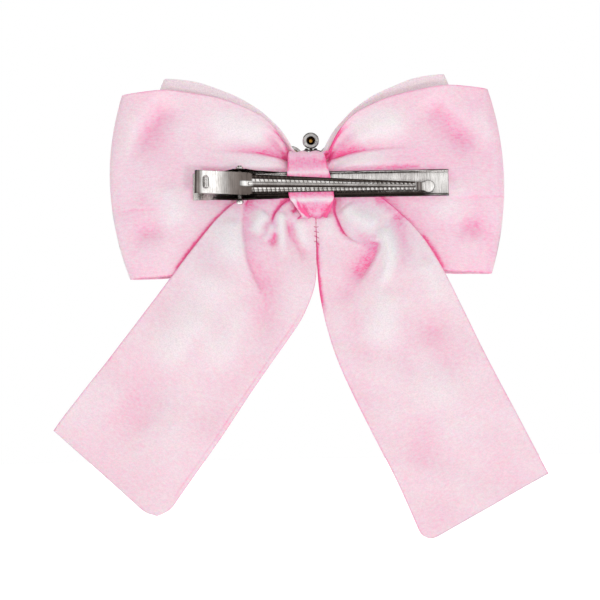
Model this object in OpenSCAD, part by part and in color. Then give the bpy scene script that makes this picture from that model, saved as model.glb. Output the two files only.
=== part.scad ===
// A satin double bow with two long tails, worn in the hair on a sprung alligator clip.
// X runs along the clip, Z is up as worn, and the clip is on the -Y side.
// The origin is on the base jaw's gripping face, where the knot wraps round the clip.

/* [Clip] */
// Length of the base jaw
base_len = 75.7; // [74:0.1:78]
// Distance from the base jaw's thumb end to the middle of the knot
base_back = 34.5; // [33.5:0.1:35.5]
// Width of the base jaw
base_w = 7.9; // [7.6:0.1:8.4]
// Thickness of the sheet steel that the jaws are pressed from
sheet_t = 0.45; // [0.4:0.05:0.5]
// Height of the base jaw's turned-up edges
flange_h = 0.6; // [0.4:0.05:0.65]
// Distance between the outsides of the base jaw's hinge ears
ear_span = 9.3; // [9:0.1:9.6]
// Width of the thumb lever
lever_w = 6.8; // [6.4:0.1:6.8]
// Height of the lever's thumb end above the gripping face
lever_rise = 8.9; // [8:0.1:9.5]
// Number of teeth along each side of the top jaw
teeth = 38; // [20:1:38]
// Distance between two teeth
tooth_pitch = 1.27; // [1:0.01:1.3]
// Sideways lean of the top jaw on its loose pin, in degrees
jaw_skew = 1.3; // [0:0.1:1.5]

/* [Hinge] */
// Distance of the pin behind the middle of the knot
pin_back = 20.6; // [20:0.1:21]
// Height of the pin's axis above the gripping face
pin_rise = 2.6; // [2.5:0.05:2.8]
// Radius of the pin
pin_r = 0.65; // [0.5:0.05:0.7]
// Radius of the pin's riveted heads
pin_head_r = 1.1; // [0.9:0.05:1.3]
// Length of the pin over its heads
pin_len = 11.6; // [11:0.1:12]
// Radial clearance of the top jaw on the pin
pin_play = 0.06; // [0.02:0.01:0.1]
// Width of the leaf spring
spring_w = 3.4; // [3:0.1:4]
// Thickness of the leaf spring
spring_t = 0.3; // [0.2:0.05:0.35]

/* [Bow] */
// Half the width of the large back loops
back_reach = 59.3; // [55:0.1:62]
// Half the width of the small front loops
front_reach = 49; // [45:0.5:51]
// Thickness of the bands' doubled satin
satin_t = 0.7; // [0.5:0.1:0.9]
// Depth of the back loops, front to back
back_depth = 9; // [8:0.5:10]
// Depth of the front loops, front to back
front_depth = 8; // [7:0.5:9]
// Thickness of each band where it is gathered under the knot
waist_t = 3; // [2.8:0.1:3]
// Thickness of the tails
tail_t = 1.6; // [1:0.1:1.6]
// Width of the knot band, along the clip
knot_w = 12.6; // [12:0.1:13]

/* [Ornament] */
// Distance of the ornament's middle from the knot's middle, along the clip
ornament_x = 0.7; // [0:0.1:1]
// Height of the ornament's middle above the clip
ornament_z = 3.4; // [2:0.1:3.6]
// Radius of the circle of round stones
round_ring_r = 11.7; // [11.5:0.1:12]
// Radius of a round cup
round_cup_r = 2.5; // [2.3:0.1:2.6]
// Radius of the circle of leaf-shaped stones
leaf_ring_r = 8.7; // [8.7:0.1:9.2]
// Length of a leaf-shaped cup
leaf_len = 6; // [5.6:0.1:6]
// Width of a leaf-shaped cup
leaf_w = 3.2; // [3:0.1:3.3]
// Radius of the middle cup
centre_cup_r = 4.2; // [4:0.1:4.4]

/* [Hidden] */
petals = 6;
petal_list = [1:petals];

$fn = 48;
steel_colour = "silver";
satin_colour = "pink";
eps = 0.01;

// Clip
base_x0 = -base_back;
base_x1 = base_len - base_back;
pin_x = -pin_back;
pin_y = -pin_rise;
flat_tail_len = 6;
flange_lean = 0.6;
ear_t = 0.45;
ear_top = -pin_rise - 1.4;
ear_foot_z = base_w / 2 - ear_t;
jaw_shift = 0.2;
jaw_ear_r = 1.6;
jaw_ear_t = 0.4;
channel_x0 = -17;
channel_x1 = channel_x0 + teeth * tooth_pitch;
channel_y0 = -4.45;
channel_y1 = -1.45;
channel_z0 = 2.7;
channel_z1 = 1.25;
rail_w = 0.85;
rail_rise = 0.4;
skirt_t = 0.4;
skirt_y0 = -2.3;
skirt_y1 = -0.35;
tooth_h = 0.3;
rib_w = 1.5;
rib_rise = 0.26;
tip_x = 35.2;
tip_r = 1.75;
tip_gap = 0.1;
tip_neck_w = 2.5;
hook_slot_x = -30.4;
hook_slot_w = 1.6;
hook_slot_l = 3.7;
spring_bend_r = 1.1;

// Bow, from the clip outwards
glue_y0 = sheet_t + 0.05;
glue_y1 = glue_y0 + 0.4;
thread_t = 0.3;
thread_y0 = glue_y1 + 0.05;
tail_y0 = thread_y0 + thread_t + 0.05;
tail_y1 = tail_y0 + tail_t;
layer_gap = 0.3;
back_y = tail_y1 + layer_gap;
front_y = back_y + waist_t + layer_gap;
bow_y1 = front_y + waist_t + 0.1;
knot_t = 0.4;
knot_y0 = -flange_h - 0.08 - knot_t;
knot_y1 = bow_y1 + thread_t + 0.6 + knot_t;
knot_z0 = -10;
knot_z1 = 10.4;
waist_h = 8.5;
waist_x = knot_w / 2 + 0.3;
swell_len = 42;
front_swell_len = 34;
tail_split_x = 1.8;

// Ornament, from the knot outwards
pad_y0 = knot_y1 + 0.05;
frame_y = pad_y0 + 1.9;
wire_r = 0.45;
cup_drop = 0.15;
cup_y0 = frame_y - cup_drop;
centre_cup_y0 = cup_y0 + 0.1;
cup_t = 0.4;
round_cup_h = 2.1;
leaf_cup_h = 1.8;
centre_cup_h = 2.6;
stone_gap = 0.06;
seat_share = 0.45;
frame_ring_r = 5.2;
bead_r = 0.6;
bead_ring_r = 8.9;
outer_wire_r = 0.3;
bead_turn = 9;

// Extrudes a plan of X and Y upwards
module along_z(z0, z1) {
    translate([0, 0, z0])
        linear_extrude(z1 - z0)
            children();
}

// Extrudes an outline of X and Z from front to back
module along_y(y0, y1) {
    translate([0, y1, 0])
        rotate([90, 0, 0])
            linear_extrude(y1 - y0)
                children();
}

// Extrudes a section of Y and Z along the clip
module along_x(x0, x1) {
    translate([x0, 0, 0])
        rotate([90, 0, 90])
            linear_extrude(x1 - x0)
                children();
}

// A straight strip of sheet in a plan, centred on the line from p to q
module strip(p, q, thick) {
    run = q - p;
    translate(p)
        rotate(atan2(run[1], run[0]))
            translate([0, -thick / 2])
                square([norm(run), thick]);
}

// One point of a smooth curve through four neighbouring points
function curve_point(a, b, c, d, t) =
    0.5 * (2 * b + (c - a) * t + (2 * a - 5 * b + 4 * c - d) * t * t + (3 * b - a - 3 * c + d) * t * t * t);

// A smooth curve through a list of points, with a few steps between each two
function smooth(p, steps = 4) = [
    for (i = [0:len(p) - 2], k = [0:steps - 1])
        curve_point(p[max(i - 1, 0)], p[i], p[i + 1], p[min(i + 2, len(p) - 1)], k / steps),
    p[len(p) - 1]
];

// Rises gently from 0 to 1
function ease(t) = (1 - cos(180 * min(max(t, 0), 1))) / 2;

// ---- Clip ----

// Cross-section of the base jaw: a flat floor with leaning edges
module base_section() {
    z_out = base_w / 2;
    z_in = z_out - flange_lean;
    polygon([
        [sheet_t, -z_in], [sheet_t, z_in],
        [-flange_h, z_out], [-flange_h, z_out - sheet_t],
        [0, z_in - 0.2], [0, 0.2 - z_in],
        [-flange_h, sheet_t - z_out], [-flange_h, -z_out]
    ]);
}

// Side view of the base jaw's hinge ears
module ear_profile() {
    polygon([
        [base_x0 + flat_tail_len, -flange_h + 0.1],
        [pin_x - 4.5, -2.1],
        [pin_x - 1.9, ear_top],
        [pin_x + 1.9, ear_top],
        [pin_x + 5, -2.1],
        [-9, -flange_h + 0.1]
    ]);
}

// An ear leans outwards from the edge of the floor
module base_ear() {
    intersection() {
        along_z(0, base_w)
            ear_profile();
        along_x(base_x0, 0)
            polygon([
                [0, ear_foot_z], [0, ear_foot_z + ear_t],
                [ear_top, ear_span / 2], [ear_top, ear_span / 2 - ear_t]
            ]);
    }
}

module base_jaw() {
    color(steel_colour)
    difference() {
        union() {
            along_x(base_x0 + flat_tail_len, base_x1)
                base_section();
            translate([base_x0, 0, -base_w / 2])
                cube([flat_tail_len + 0.2, sheet_t, base_w]);
            base_ear();
            mirror([0, 0, 1])
                base_ear();
        }
        translate([pin_x, pin_y, -ear_span])
            cylinder(r = pin_r, h = 2 * ear_span);
    }
}

// A toothed strip on one side of the channel: level edge at the root line, teeth on the other
module toothed_profile(root0, root1, edge0, edge1, bite) {
    count = teeth;
    step = (channel_x1 - channel_x0) / count;
    polygon(concat(
        [[channel_x0, root0]],
        [for (i = [0:count - 1], k = [0:2])
            let (x = channel_x0 + (i + [0.12, 0.5, 0.88][k]) * step,
                 t = (x - channel_x0) / (channel_x1 - channel_x0))
            [x, edge0 + (edge1 - edge0) * t + bite * [0, 1, 0][k]]],
        [[channel_x1, root1]]
    ));
}

// A low pressed rib along the middle of the channel, with a narrower crown and a round far end
module middle_rib() {
    for (step = [1, 2])
        along_z(-rib_w / step / 2, rib_w / step / 2)
            strip([channel_x0 - 1, channel_y0], [channel_x1 - 0.8, channel_y1], rib_rise * step);
    translate([channel_x1 - 0.8, channel_y1 + eps, 0])
        rotate([90, 0, 0])
            cylinder(r = rib_w / 2, h = rib_rise);
}

// One side of the channel: a toothed rail above the plate and a toothed skirt below it
module channel_side() {
    lean = atan2(channel_z0 - channel_z1, channel_x1 - channel_x0);
    translate([channel_x0, 0, channel_z0])
        rotate([0, lean, 0])
            translate([-channel_x0, 0, 0]) {
                along_z(-rail_w, 0)
                    toothed_profile(channel_y0 + sheet_t, channel_y1 + sheet_t,
                        channel_y0 - rail_rise + tooth_h, channel_y1 - rail_rise + tooth_h, -tooth_h);
                along_z(-skirt_t, 0)
                    toothed_profile(channel_y0 + sheet_t - eps, channel_y1 + sheet_t - eps,
                        skirt_y0 - tooth_h, skirt_y1 - tooth_h, tooth_h);
            }
}

// The thin plate that runs from the thumb end to the tip, seen from the side
module jaw_side_view() {
    lever_y = -lever_rise;
    polygon([
        [-33.6, lever_y + 0.55], [-33.0, lever_y], [-31.6, lever_y + 0.15],
        [-26, lever_y + 1.95], [-20, lever_y + 3.85], [-18.2, channel_y0 - 0.1],
        [channel_x0, channel_y0], [channel_x1, channel_y1], [channel_x1 + 0.7, channel_y1],
        [channel_x1 + 2, -tip_gap - sheet_t], [tip_x, -tip_gap - sheet_t],
        [tip_x, -tip_gap], [channel_x1 + 1.8, -tip_gap],
        [channel_x1 + 0.5, channel_y1 + sheet_t], [channel_x1, channel_y1 + sheet_t],
        [channel_x0, channel_y0 + sheet_t], [-18.2, channel_y0 + sheet_t - 0.1],
        [-20, lever_y + 3.85 + sheet_t], [-26, lever_y + 1.95 + sheet_t],
        [-31.6, lever_y + 0.15 + sheet_t], [-32.8, lever_y + sheet_t],
        [-33.25, lever_y + 0.8]
    ]);
}

// The same plate seen from above: a wide lever, a tapering channel and a narrow tip
module jaw_top_view() {
    half = lever_w / 2;
    neck = tip_neck_w / 2;
    polygon([
        [-34, -half], [-18.6, -half], [channel_x0 + 1.5, -channel_z0], [channel_x1, -channel_z1],
        [tip_x, -neck], [tip_x, neck],
        [channel_x1, channel_z1], [channel_x0 + 1.5, channel_z0], [-18.6, half], [-34, half]
    ]);
}

// Side view of the top jaw's own hinge ears
module jaw_ear_profile() {
    translate([pin_x, pin_y])
        circle(r = jaw_ear_r);
    polygon([
        [-27, -6.4], [pin_x - jaw_ear_r, pin_y], [pin_x, pin_y + 0.5],
        [pin_x + jaw_ear_r, pin_y], [channel_x0 + 1, skirt_y0 - 0.1], [channel_x0 + 1, channel_y0 + 0.1],
        [-17.6, channel_y0], [-20, -4.9]
    ]);
}

module jaw_ear() {
    along_z(lever_w / 2 - jaw_ear_t, lever_w / 2)
        intersection() {
            jaw_ear_profile();
            translate([-40, -20])
                square([40 - 17.4, 40]);
        }
}

module top_jaw_body() {
    intersection() {
        along_z(-lever_w, lever_w)
            jaw_side_view();
        along_y(-20, 20)
            jaw_top_view();
    }
    translate([tip_x, -tip_gap, 0])
        rotate([90, 0, 0])
            cylinder(r = tip_r, h = sheet_t);
    middle_rib();
    channel_side();
    mirror([0, 0, 1])
        channel_side();
    jaw_ear();
    mirror([0, 0, 1])
        jaw_ear();
}

module hook_slot() {
    run = (hook_slot_l - hook_slot_w) / 2;
    along_y(-20, 0) {
        translate([hook_slot_x - hook_slot_w / 2, -run])
            square([hook_slot_w, 2 * run]);
        for (end = [-run, run])
            translate([hook_slot_x, end])
                circle(r = hook_slot_w / 2);
    }
}

// Moves its children onto the top jaw's slightly leaning line
module on_jaw_line() {
    translate([pin_x, 0, jaw_shift])
        rotate([0, jaw_skew, 0])
            translate([-pin_x, 0, 0])
                children();
}

module top_jaw() {
    color(steel_colour)
    difference() {
        on_jaw_line()
            difference() {
                top_jaw_body();
                hook_slot();
            }
        translate([pin_x, pin_y, -ear_span])
            cylinder(r = pin_r + pin_play, h = 2 * ear_span);
    }
}

module hinge_pin() {
    head_h = (pin_len - ear_span) / 2;
    color("gainsboro")
    translate([pin_x, pin_y, 0]) {
        cylinder(r = pin_r, h = pin_len - 0.6, center = true);
        for (side = [0, 1])
            mirror([0, 0, side])
                translate([0, 0, pin_len / 2 - head_h])
                    rotate_extrude()
                        polygon([
                            [0, 0], [pin_head_r, 0], [pin_head_r, head_h * 0.55],
                            [pin_head_r * 0.72, head_h * 0.92], [pin_head_r * 0.4, head_h], [0, head_h]
                        ]);
    }
}

// Side view of the spring: one arm under the lever, a bend round the pin, one arm on the base
module spring_profile() {
    bend = [pin_x, pin_y];
    r_out = spring_bend_r + spring_t;
    mid_r = spring_bend_r + spring_t / 2;
    arm_top = [-30.4, -7.5];
    hook_end = [-30.6, -8.75];
    base_rest = [-24.6, -0.45];
    base_end = [-33, -0.25];
    intersection() {
        difference() {
            translate(bend)
                circle(r = r_out);
            translate(bend)
                circle(r = spring_bend_r);
        }
        translate(bend - [0.3, r_out])
            square([2 * r_out, 2 * r_out]);
    }
    strip(arm_top, bend + [0, -mid_r], spring_t);
    strip(arm_top + [0, 0.1], hook_end, spring_t);
    strip(bend + [0, mid_r], base_rest, spring_t);
    strip(base_rest + [0.1, -0.02], base_end, spring_t);
}

module leaf_spring() {
    color("lightgray")
    on_jaw_line()
        along_z(-spring_w / 2, spring_w / 2)
            spring_profile();
}

// ---- Bow ----

// Columns of a loop, as shares of the way from the knot to its fold
columns = [0, 0.05, 0.11, 0.14, 0.18, 0.24, 0.31, 0.39, 0.48, 0.58, 0.68, 0.77, 0.85, 0.91, 0.955, 0.985, 1];
rows = 8;

// Depth of a loop at a distance from the knot: gathered, then full, then rounded off at the fold
function loop_depth(x, reach, swell, depth, gathered) =
    x < swell
        ? gathered + (depth - gathered) * ease(x / swell)
        : depth * sqrt(max(1 - pow((x - swell) / (reach - swell), 2), 0));

// How far the loop's rounded end has closed in from its back side
function end_rise(x, reach, swell, depth) =
    x < swell ? 0 : (depth - loop_depth(x, reach, swell, depth, 0)) / 2;

// Rise of the back loops' front side, which the front loops lie on
function bed(x) = (back_depth - waist_t) * ease(x / swell_len);

// A point on a loop: share is its way from knot to fold, v runs from the bottom edge to the top,
// front is true on the side away from the clip, and margin is the depth below the outer surface
function loop_point(band, share, v, front, margin) =
    let (
        reach = band[0] - margin,
        swell = band[1],
        depth = band[2] - 2 * margin,
        gathered = waist_t - 2 * min(margin * 2, waist_t / 2 - 0.1),
        flat_x = reach * share,
        lift = margin == 0 ? 0 : (band[2] - depth) / 2 * ease(flat_x / swell)
            + (waist_t - gathered) / 2 * (1 - ease(flat_x / swell)),
        y = band[3] + (band[4] ? bed(flat_x) : 0) + lift + end_rise(flat_x, reach, swell, depth)
            + (front ? loop_depth(flat_x, reach, swell, depth, gathered) : 0),
        z0 = lookup(flat_x, band[6]),
        z1 = lookup(flat_x, band[5])
    )
    [flat_x - band[7] * share * share * pow(2 * v - 1, 2), y, z0 + (z1 - z0) * v];

// One row of points round the whole band: right loop, then left loop
function band_row(band, v, margin) =
    let (
        n = len(columns) - 1,
        right = concat(
            [for (i = [0:n]) loop_point(band, columns[i], v, false, margin)],
            [for (i = [n - 1:-1:0]) loop_point(band, columns[i], v, true, margin)]
        )
    )
    concat(right, [for (i = [len(right) - 2:-1:1]) [-right[i][0], right[i][1], right[i][2]]]);

// The two triangles of one cell of a grid of points; turned when it faces inwards
function cell(a, b, c, d, turned) = turned ? [[a, c, b], [a, d, c]] : [[a, b, c], [a, c, d]];

// A closed ribbon of satin, pinched at the knot into a left and a right loop
module ribbon_ring(band) {
    around = 4 * (len(columns) - 1);
    outer = [for (j = [0:rows]) each band_row(band, j / rows, 0)];
    inner = [for (j = [0:rows]) each band_row(band, j / rows, satin_t)];
    start = len(outer);
    polyhedron(
        points = concat(outer, inner),
        faces = [
            for (i = [0:around - 1])
                let (k = (i + 1) % around, top = rows * around)
                each concat(
                    [for (j = [0:rows - 1])
                        let (low = j * around, high = low + around)
                        each cell(low + i, low + k, high + k, high + i, true)],
                    [for (j = [0:rows - 1])
                        let (low = start + j * around, high = low + around)
                        each cell(low + i, low + k, high + k, high + i, false)],
                    cell(i, k, start + k, start + i, false),
                    cell(top + i, top + k, start + top + k, start + top + i, true)
                )
        ],
        convexity = 8
    );
}

// Each band: reach, swell, depth, level of its back, whether it is bedded on the other band,
// top edge and bottom edge against the distance from the knot, and how far its fold bows
back_band = [
    back_reach, swell_len, back_depth, back_y, false,
    [[0, waist_h], [waist_x, waist_h], [8.2, 14], [10.8, 17.6], [14.2, 20.7], [19.9, 24.3], [26, 26.7],
        [34.5, 28.4], [45, 29.7], [back_reach, 28.8]],
    [[0, -waist_h], [waist_x, -waist_h], [8.2, -12], [15, -17.8], [26, -23.4], [40, -25.8], [back_reach, -26.8]],
    4.6
];
front_band = [
    front_reach, front_swell_len, front_depth, front_y, true,
    [[0, waist_h], [waist_x, waist_h], [8.6, 17], [11.5, 20.8], [14.6, 23.8], [21.2, 27.9], [28.4, 30.9],
        [37, 33.6], [front_reach, 35.2]],
    [[0, -waist_h], [waist_x, -waist_h], [8.6, -11], [18, -16], [30, -18.4], [front_reach, -19.2]],
    6.5
];

module back_bow_band() {
    color(satin_colour)
    ribbon_ring(back_band);
}

module front_bow_band() {
    color("lightpink")
    ribbon_ring(front_band);
}

// The left tail passes through the knot, then turns down and spreads
module left_tail() {
    root = waist_x + 0.1;
    color(satin_colour)
    along_y(tail_y0, tail_y1)
        polygon(concat(
            [[tail_split_x - 0.05, knot_z0 - 0.3], [-root, knot_z0 - 0.3], [-root, 0.6 - waist_h]],
            [[-0.1, 0.6 - waist_h], [-0.1, 5], [-root, 5]],
            smooth([[-14, 0.5], [-23, -5], [-40.4, -25.3], [-56.2, -45.5], [-76.5, -71]], 3),
            [[-74.6, -73.6], [-50.6, -95.8]],
            smooth([[-49.9, -96.3], [-47.8, -96.9], [-44.8, -96.1], [-42.2, -93]], 3),
            smooth([[-27.4, -73.9], [-11, -50.6], [-1.3, -36.5], [tail_split_x - 0.05, -24]], 3)
        ));
}

// The right tail hangs more steeply and is cut at a slant
module right_tail() {
    root = waist_x + 0.1;
    color(satin_colour)
    along_y(tail_y0, tail_y1)
        polygon(concat(
            [[tail_split_x + 0.05, knot_z0 - 0.3], [root, knot_z0 - 0.3], [root, 0.6 - waist_h]],
            [[0.1, 0.6 - waist_h], [0.1, 5], [root, 5]],
            smooth([[14, 0.5], [24.6, -6.3], [38.8, -25.4], [51.9, -52.8], [68.5, -85.6]], 3),
            [[68.2, -87], [36, -104.4]],
            smooth([[35.2, -104.7], [33.4, -105], [31.5, -104], [30.1, -102]], 3),
            smooth([[18.9, -77.3], [7.4, -52], [2.5, -33], [tail_split_x + 0.05, -24]], 3)
        ));
}

// Section of a loop of material round the waist, in Y and Z
module waist_ring(y0, y1, z0, z1, thick, round_r) {
    difference() {
        rounded_section(y0, y1, z0, z1, round_r);
        rounded_section(y0 + thick, y1 - thick, z0 + thick, z1 - thick, max(round_r - thick, 0.1));
    }
}

module rounded_section(y0, y1, z0, z1, r) {
    translate([y0 + r, z0])
        square([y1 - y0 - 2 * r, z1 - z0]);
    translate([y0, z0 + r])
        square([y1 - y0, z1 - z0 - 2 * r]);
    for (y = [y0 + r, y1 - r], z = [z0 + r, z1 - r])
        translate([y, z])
            circle(r = r, $fn = 32);
}

module knot_band() {
    color("hotpink")
    along_x(-knot_w / 2, knot_w / 2)
        waist_ring(knot_y0, knot_y1, knot_z0, knot_z1, knot_t, 1);
}

module gather_thread() {
    turns = 3;
    turn_step = 1.1;
    color("plum")
    for (i = [0:turns - 1])
        translate([(i - (turns - 1) / 2) * turn_step, 0, 0])
            along_x(-thread_t / 2, thread_t / 2)
                waist_ring(thread_y0, bow_y1 + thread_t, -waist_h - 0.1 - thread_t,
                    waist_h + 0.1 + thread_t, thread_t, 0.5);
}

module clip_glue() {
    color("ivory")
    translate([-4.5, glue_y0, -2.8])
        cube([9, glue_y1 - glue_y0, 5.6]);
}

module ornament_glue() {
    color("ivory")
    translate([ornament_x, frame_y - wire_r, ornament_z])
        rotate([90, 0, 0])
            cylinder(r = frame_ring_r - 0.2, h = frame_y - wire_r - pad_y0);
}

// ---- Ornament ----

// Faces its children, built upwards in +Z, away from the clip at the ornament's middle
module on_ornament(y) {
    translate([ornament_x, y, ornament_z])
        rotate([-90, 0, 0])
            children();
}

// Places its children on one of the petals; half steps lie between the round cups
module on_petal(index, radius, half_step) {
    turn = (index - 1) * 360 / petals + (half_step ? 180 / petals : 0);
    rotate([0, 0, turn])
        translate([0, -radius, 0])
            children();
}

// Outline of a leaf: two arcs that meet in points
module leaf_shape(length, width, facets = 96) {
    arc_r = (length * length + width * width) / (4 * width);
    intersection() {
        translate([arc_r - width / 2, 0])
            circle(r = arc_r, $fn = facets);
        translate([width / 2 - arc_r, 0])
            circle(r = arc_r, $fn = facets);
    }
}

module filigree_frame() {
    color("dimgray")
    on_ornament(frame_y) {
        rotate_extrude()
            translate([frame_ring_r, 0])
                circle(r = wire_r, $fn = 24);
        rotate_extrude()
            translate([leaf_ring_r, -cup_drop - outer_wire_r])
                circle(r = outer_wire_r, $fn = 24);
        for (i = petal_list) {
            on_petal(i, frame_ring_r, false)
                rotate([90, 0, 0])
                    cylinder(r = wire_r * 0.9, h = round_ring_r - round_cup_r - frame_ring_r + 0.1);
            for (side = [-1, 1])
                rotate([0, 0, side * bead_turn]) {
                    on_petal(i, bead_ring_r, false)
                        sphere(r = bead_r);
                    on_petal(i, frame_ring_r, false)
                        rotate([90, 0, 0])
                            cylinder(r = wire_r * 0.7, h = bead_ring_r - frame_ring_r);
                }
        }
    }
}

// A round cup with an open back, a seat and a rim
module round_cup_shape(radius, height, hole_r) {
    rotate_extrude()
        polygon([
            [hole_r, 0], [radius - 0.3, 0], [radius, 0.3], [radius, height - 0.15],
            [radius - 0.15, height], [radius - cup_t, height], [radius - cup_t, height * seat_share],
            [hole_r, 0.35]
        ]);
}

// A round faceted stone: pavilion, girdle and flat table
module round_stone_shape(radius, depth, crown) {
    $fn = 8;
    table_r = radius * 0.62;
    cylinder(r1 = radius * 0.25, r2 = radius, h = depth);
    translate([0, 0, depth])
        cylinder(r1 = radius, r2 = table_r, h = crown);
}

module centre_cup() {
    color("silver")
    on_ornament(centre_cup_y0)
        round_cup_shape(centre_cup_r, centre_cup_h, 2.2);
}

module centre_stone() {
    color("lavenderblush")
    on_ornament(centre_cup_y0 + centre_cup_h * seat_share + 0.05)
        round_stone_shape(centre_cup_r - cup_t - stone_gap, 1.3, 1.2);
}

module round_cup(index) {
    color("silver")
    on_ornament(cup_y0)
        on_petal(index, round_ring_r, false)
            round_cup_shape(round_cup_r, round_cup_h, 1.28);
}

module round_stone(index) {
    color("sandybrown")
    on_ornament(cup_y0 + round_cup_h * seat_share + 0.05)
        on_petal(index, round_ring_r, false)
            round_stone_shape(round_cup_r - cup_t - stone_gap, 0.9, 0.8);
}

module leaf_cup(index) {
    color("silver")
    on_ornament(cup_y0)
        on_petal(index, leaf_ring_r, true)
            difference() {
                linear_extrude(leaf_cup_h)
                    leaf_shape(leaf_len, leaf_w);
                translate([0, 0, leaf_cup_h * seat_share])
                    linear_extrude(leaf_cup_h)
                        leaf_shape(leaf_len - 1.1, leaf_w - 2 * cup_t);
                translate([0, 0, -1])
                    linear_extrude(leaf_cup_h + 1)
                        leaf_shape(leaf_len - 2.6, leaf_w - 4 * cup_t);
            }
}

module leaf_stone(index) {
    length = leaf_len - 1.1 - 2 * stone_gap;
    width = leaf_w - 2 * cup_t - 2 * stone_gap;
    girdle_h = 0.9;
    crown_h = 0.6;
    table_share = 0.55;
    color("lavenderblush")
    on_ornament(cup_y0 + leaf_cup_h * seat_share + 0.05)
        on_petal(index, leaf_ring_r, true)
            hull() {
                linear_extrude(girdle_h)
                    leaf_shape(length, width, 16);
                linear_extrude(girdle_h + crown_h)
                    leaf_shape(length * table_share, width * table_share, 16);
            }
}

base_jaw();
top_jaw();
hinge_pin();
leaf_spring();
back_bow_band();
front_bow_band();
left_tail();
right_tail();
knot_band();
gather_thread();
clip_glue();
ornament_glue();
filigree_frame();
centre_cup();
centre_stone();
for (i = petal_list) {
    round_cup(i);
    round_stone(i);
    leaf_cup(i);
    leaf_stone(i);
}
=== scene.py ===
"""A pale pink satin double bow with two long tails, on a nickel-plated alligator hair clip.

Fabric is built as closed flat tubes of satin: a front skin and a back skin joined along rounded edges.
Their middle surface is shaped in millimetres, in the frame's own axes: X along the clip, Z up, -Y the
clip side. The clip and the ornament are the CAD nodes with their own finishes.
"""
import math

import bpy
import numpy as np
from mathutils import Matrix, Vector
from mathutils.bvhtree import BVHTree


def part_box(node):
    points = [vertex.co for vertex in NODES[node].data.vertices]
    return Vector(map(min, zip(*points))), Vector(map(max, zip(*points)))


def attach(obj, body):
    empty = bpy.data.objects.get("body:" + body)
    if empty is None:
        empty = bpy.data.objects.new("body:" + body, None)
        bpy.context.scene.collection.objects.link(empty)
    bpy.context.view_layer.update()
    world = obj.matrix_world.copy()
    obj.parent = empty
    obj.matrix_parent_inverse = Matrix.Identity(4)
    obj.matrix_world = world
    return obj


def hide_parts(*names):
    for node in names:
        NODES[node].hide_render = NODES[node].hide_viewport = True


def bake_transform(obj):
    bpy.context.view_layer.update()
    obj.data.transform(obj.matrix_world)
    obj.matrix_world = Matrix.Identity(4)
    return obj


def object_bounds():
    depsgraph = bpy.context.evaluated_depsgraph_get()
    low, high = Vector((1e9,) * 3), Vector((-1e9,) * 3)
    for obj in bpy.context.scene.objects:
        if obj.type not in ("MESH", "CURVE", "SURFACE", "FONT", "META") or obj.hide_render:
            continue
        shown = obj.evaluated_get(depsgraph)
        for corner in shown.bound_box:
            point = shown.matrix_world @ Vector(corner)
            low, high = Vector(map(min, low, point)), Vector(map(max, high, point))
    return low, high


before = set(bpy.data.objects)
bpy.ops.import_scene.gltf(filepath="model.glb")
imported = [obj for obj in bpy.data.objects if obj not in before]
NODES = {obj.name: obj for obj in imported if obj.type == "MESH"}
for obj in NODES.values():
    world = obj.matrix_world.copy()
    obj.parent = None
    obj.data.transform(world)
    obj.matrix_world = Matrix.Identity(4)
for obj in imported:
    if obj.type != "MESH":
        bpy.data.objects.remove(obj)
CAD_LOW, CAD_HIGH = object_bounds()
MM = 0.001
UV_PER_MM = 0.1
RIM_SHADE = 0.7  # painted shade along a ribbon's edges: how much deeper they look, and how far in
RIM_REACH = 0.36


# ---------------------------------------------------------------- places taken from the frame

def node_box_mm(name):
    """Lowest and highest corner of a CAD node, in millimetres."""
    low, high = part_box(name)
    return np.array(low) / MM, np.array(high) / MM


BACK_LOW, BACK_HIGH = node_box_mm("back_bow_band")
FRONT_LOW, FRONT_HIGH = node_box_mm("front_bow_band")
KNOT_LOW, KNOT_HIGH = node_box_mm("knot_band")
TAIL_LOW = node_box_mm("left_tail")[0]
SPRING_LOW, SPRING_HIGH = node_box_mm("leaf_spring")
PIN_LOW, PIN_HIGH = node_box_mm("hinge_pin")
FLOOR_Z = CAD_LOW[2] / MM - 1.2


# ---------------------------------------------------------------- curves and surfaces

def smooth_curve(points, count):
    """A smooth curve through the points, with count points at even steps of its length."""
    p = np.array(points, float)
    ends = np.vstack([2 * p[0] - p[1], p, 2 * p[-1] - p[-2]])
    steps = np.linspace(0, 1, 24, endpoint=False)[:, None]
    pieces = []
    for a, b, c, d in zip(ends[:-3], ends[1:-2], ends[2:-1], ends[3:]):
        pieces.append(0.5 * (2 * b + (c - a) * steps + (2 * a - 5 * b + 4 * c - d) * steps ** 2
                             + (3 * b - a - 3 * c + d) * steps ** 3))
    fine = np.vstack(pieces + [p[-1:]])
    run = run_along(fine)
    even = np.linspace(0, run[-1], count)
    return np.stack([np.interp(even, run, fine[:, k]) for k in range(p.shape[1])], axis=1)


def through(x, points):
    """Reads a smooth height at x off a given profile."""
    fine = smooth_curve(points, 400)
    return np.interp(x, fine[:, 0], fine[:, 1])


def ease(t):
    """0 to 1 with a soft start and a soft end."""
    t = np.clip(t, 0, 1)
    return t * t * (3 - 2 * t)


def swell(x, seed, wavelength, octaves=2):
    """Smooth random relief of about -1 to 1 over points (..., 2), from a few crossed waves."""
    rng = np.random.default_rng(seed)
    total = np.zeros(x.shape[:-1])
    for octave in range(octaves):
        for _ in range(5):
            angle = rng.uniform(0, 2 * math.pi)
            phase = rng.uniform(0, 2 * math.pi)
            wave = 2 * math.pi / (wavelength * rng.uniform(0.7, 1.4) / 2 ** octave)
            turned = x[..., 0] * math.cos(angle) + x[..., 1] * math.sin(angle)
            total += np.sin(turned * wave + phase) / 2 ** octave
    return total / 4


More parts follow.
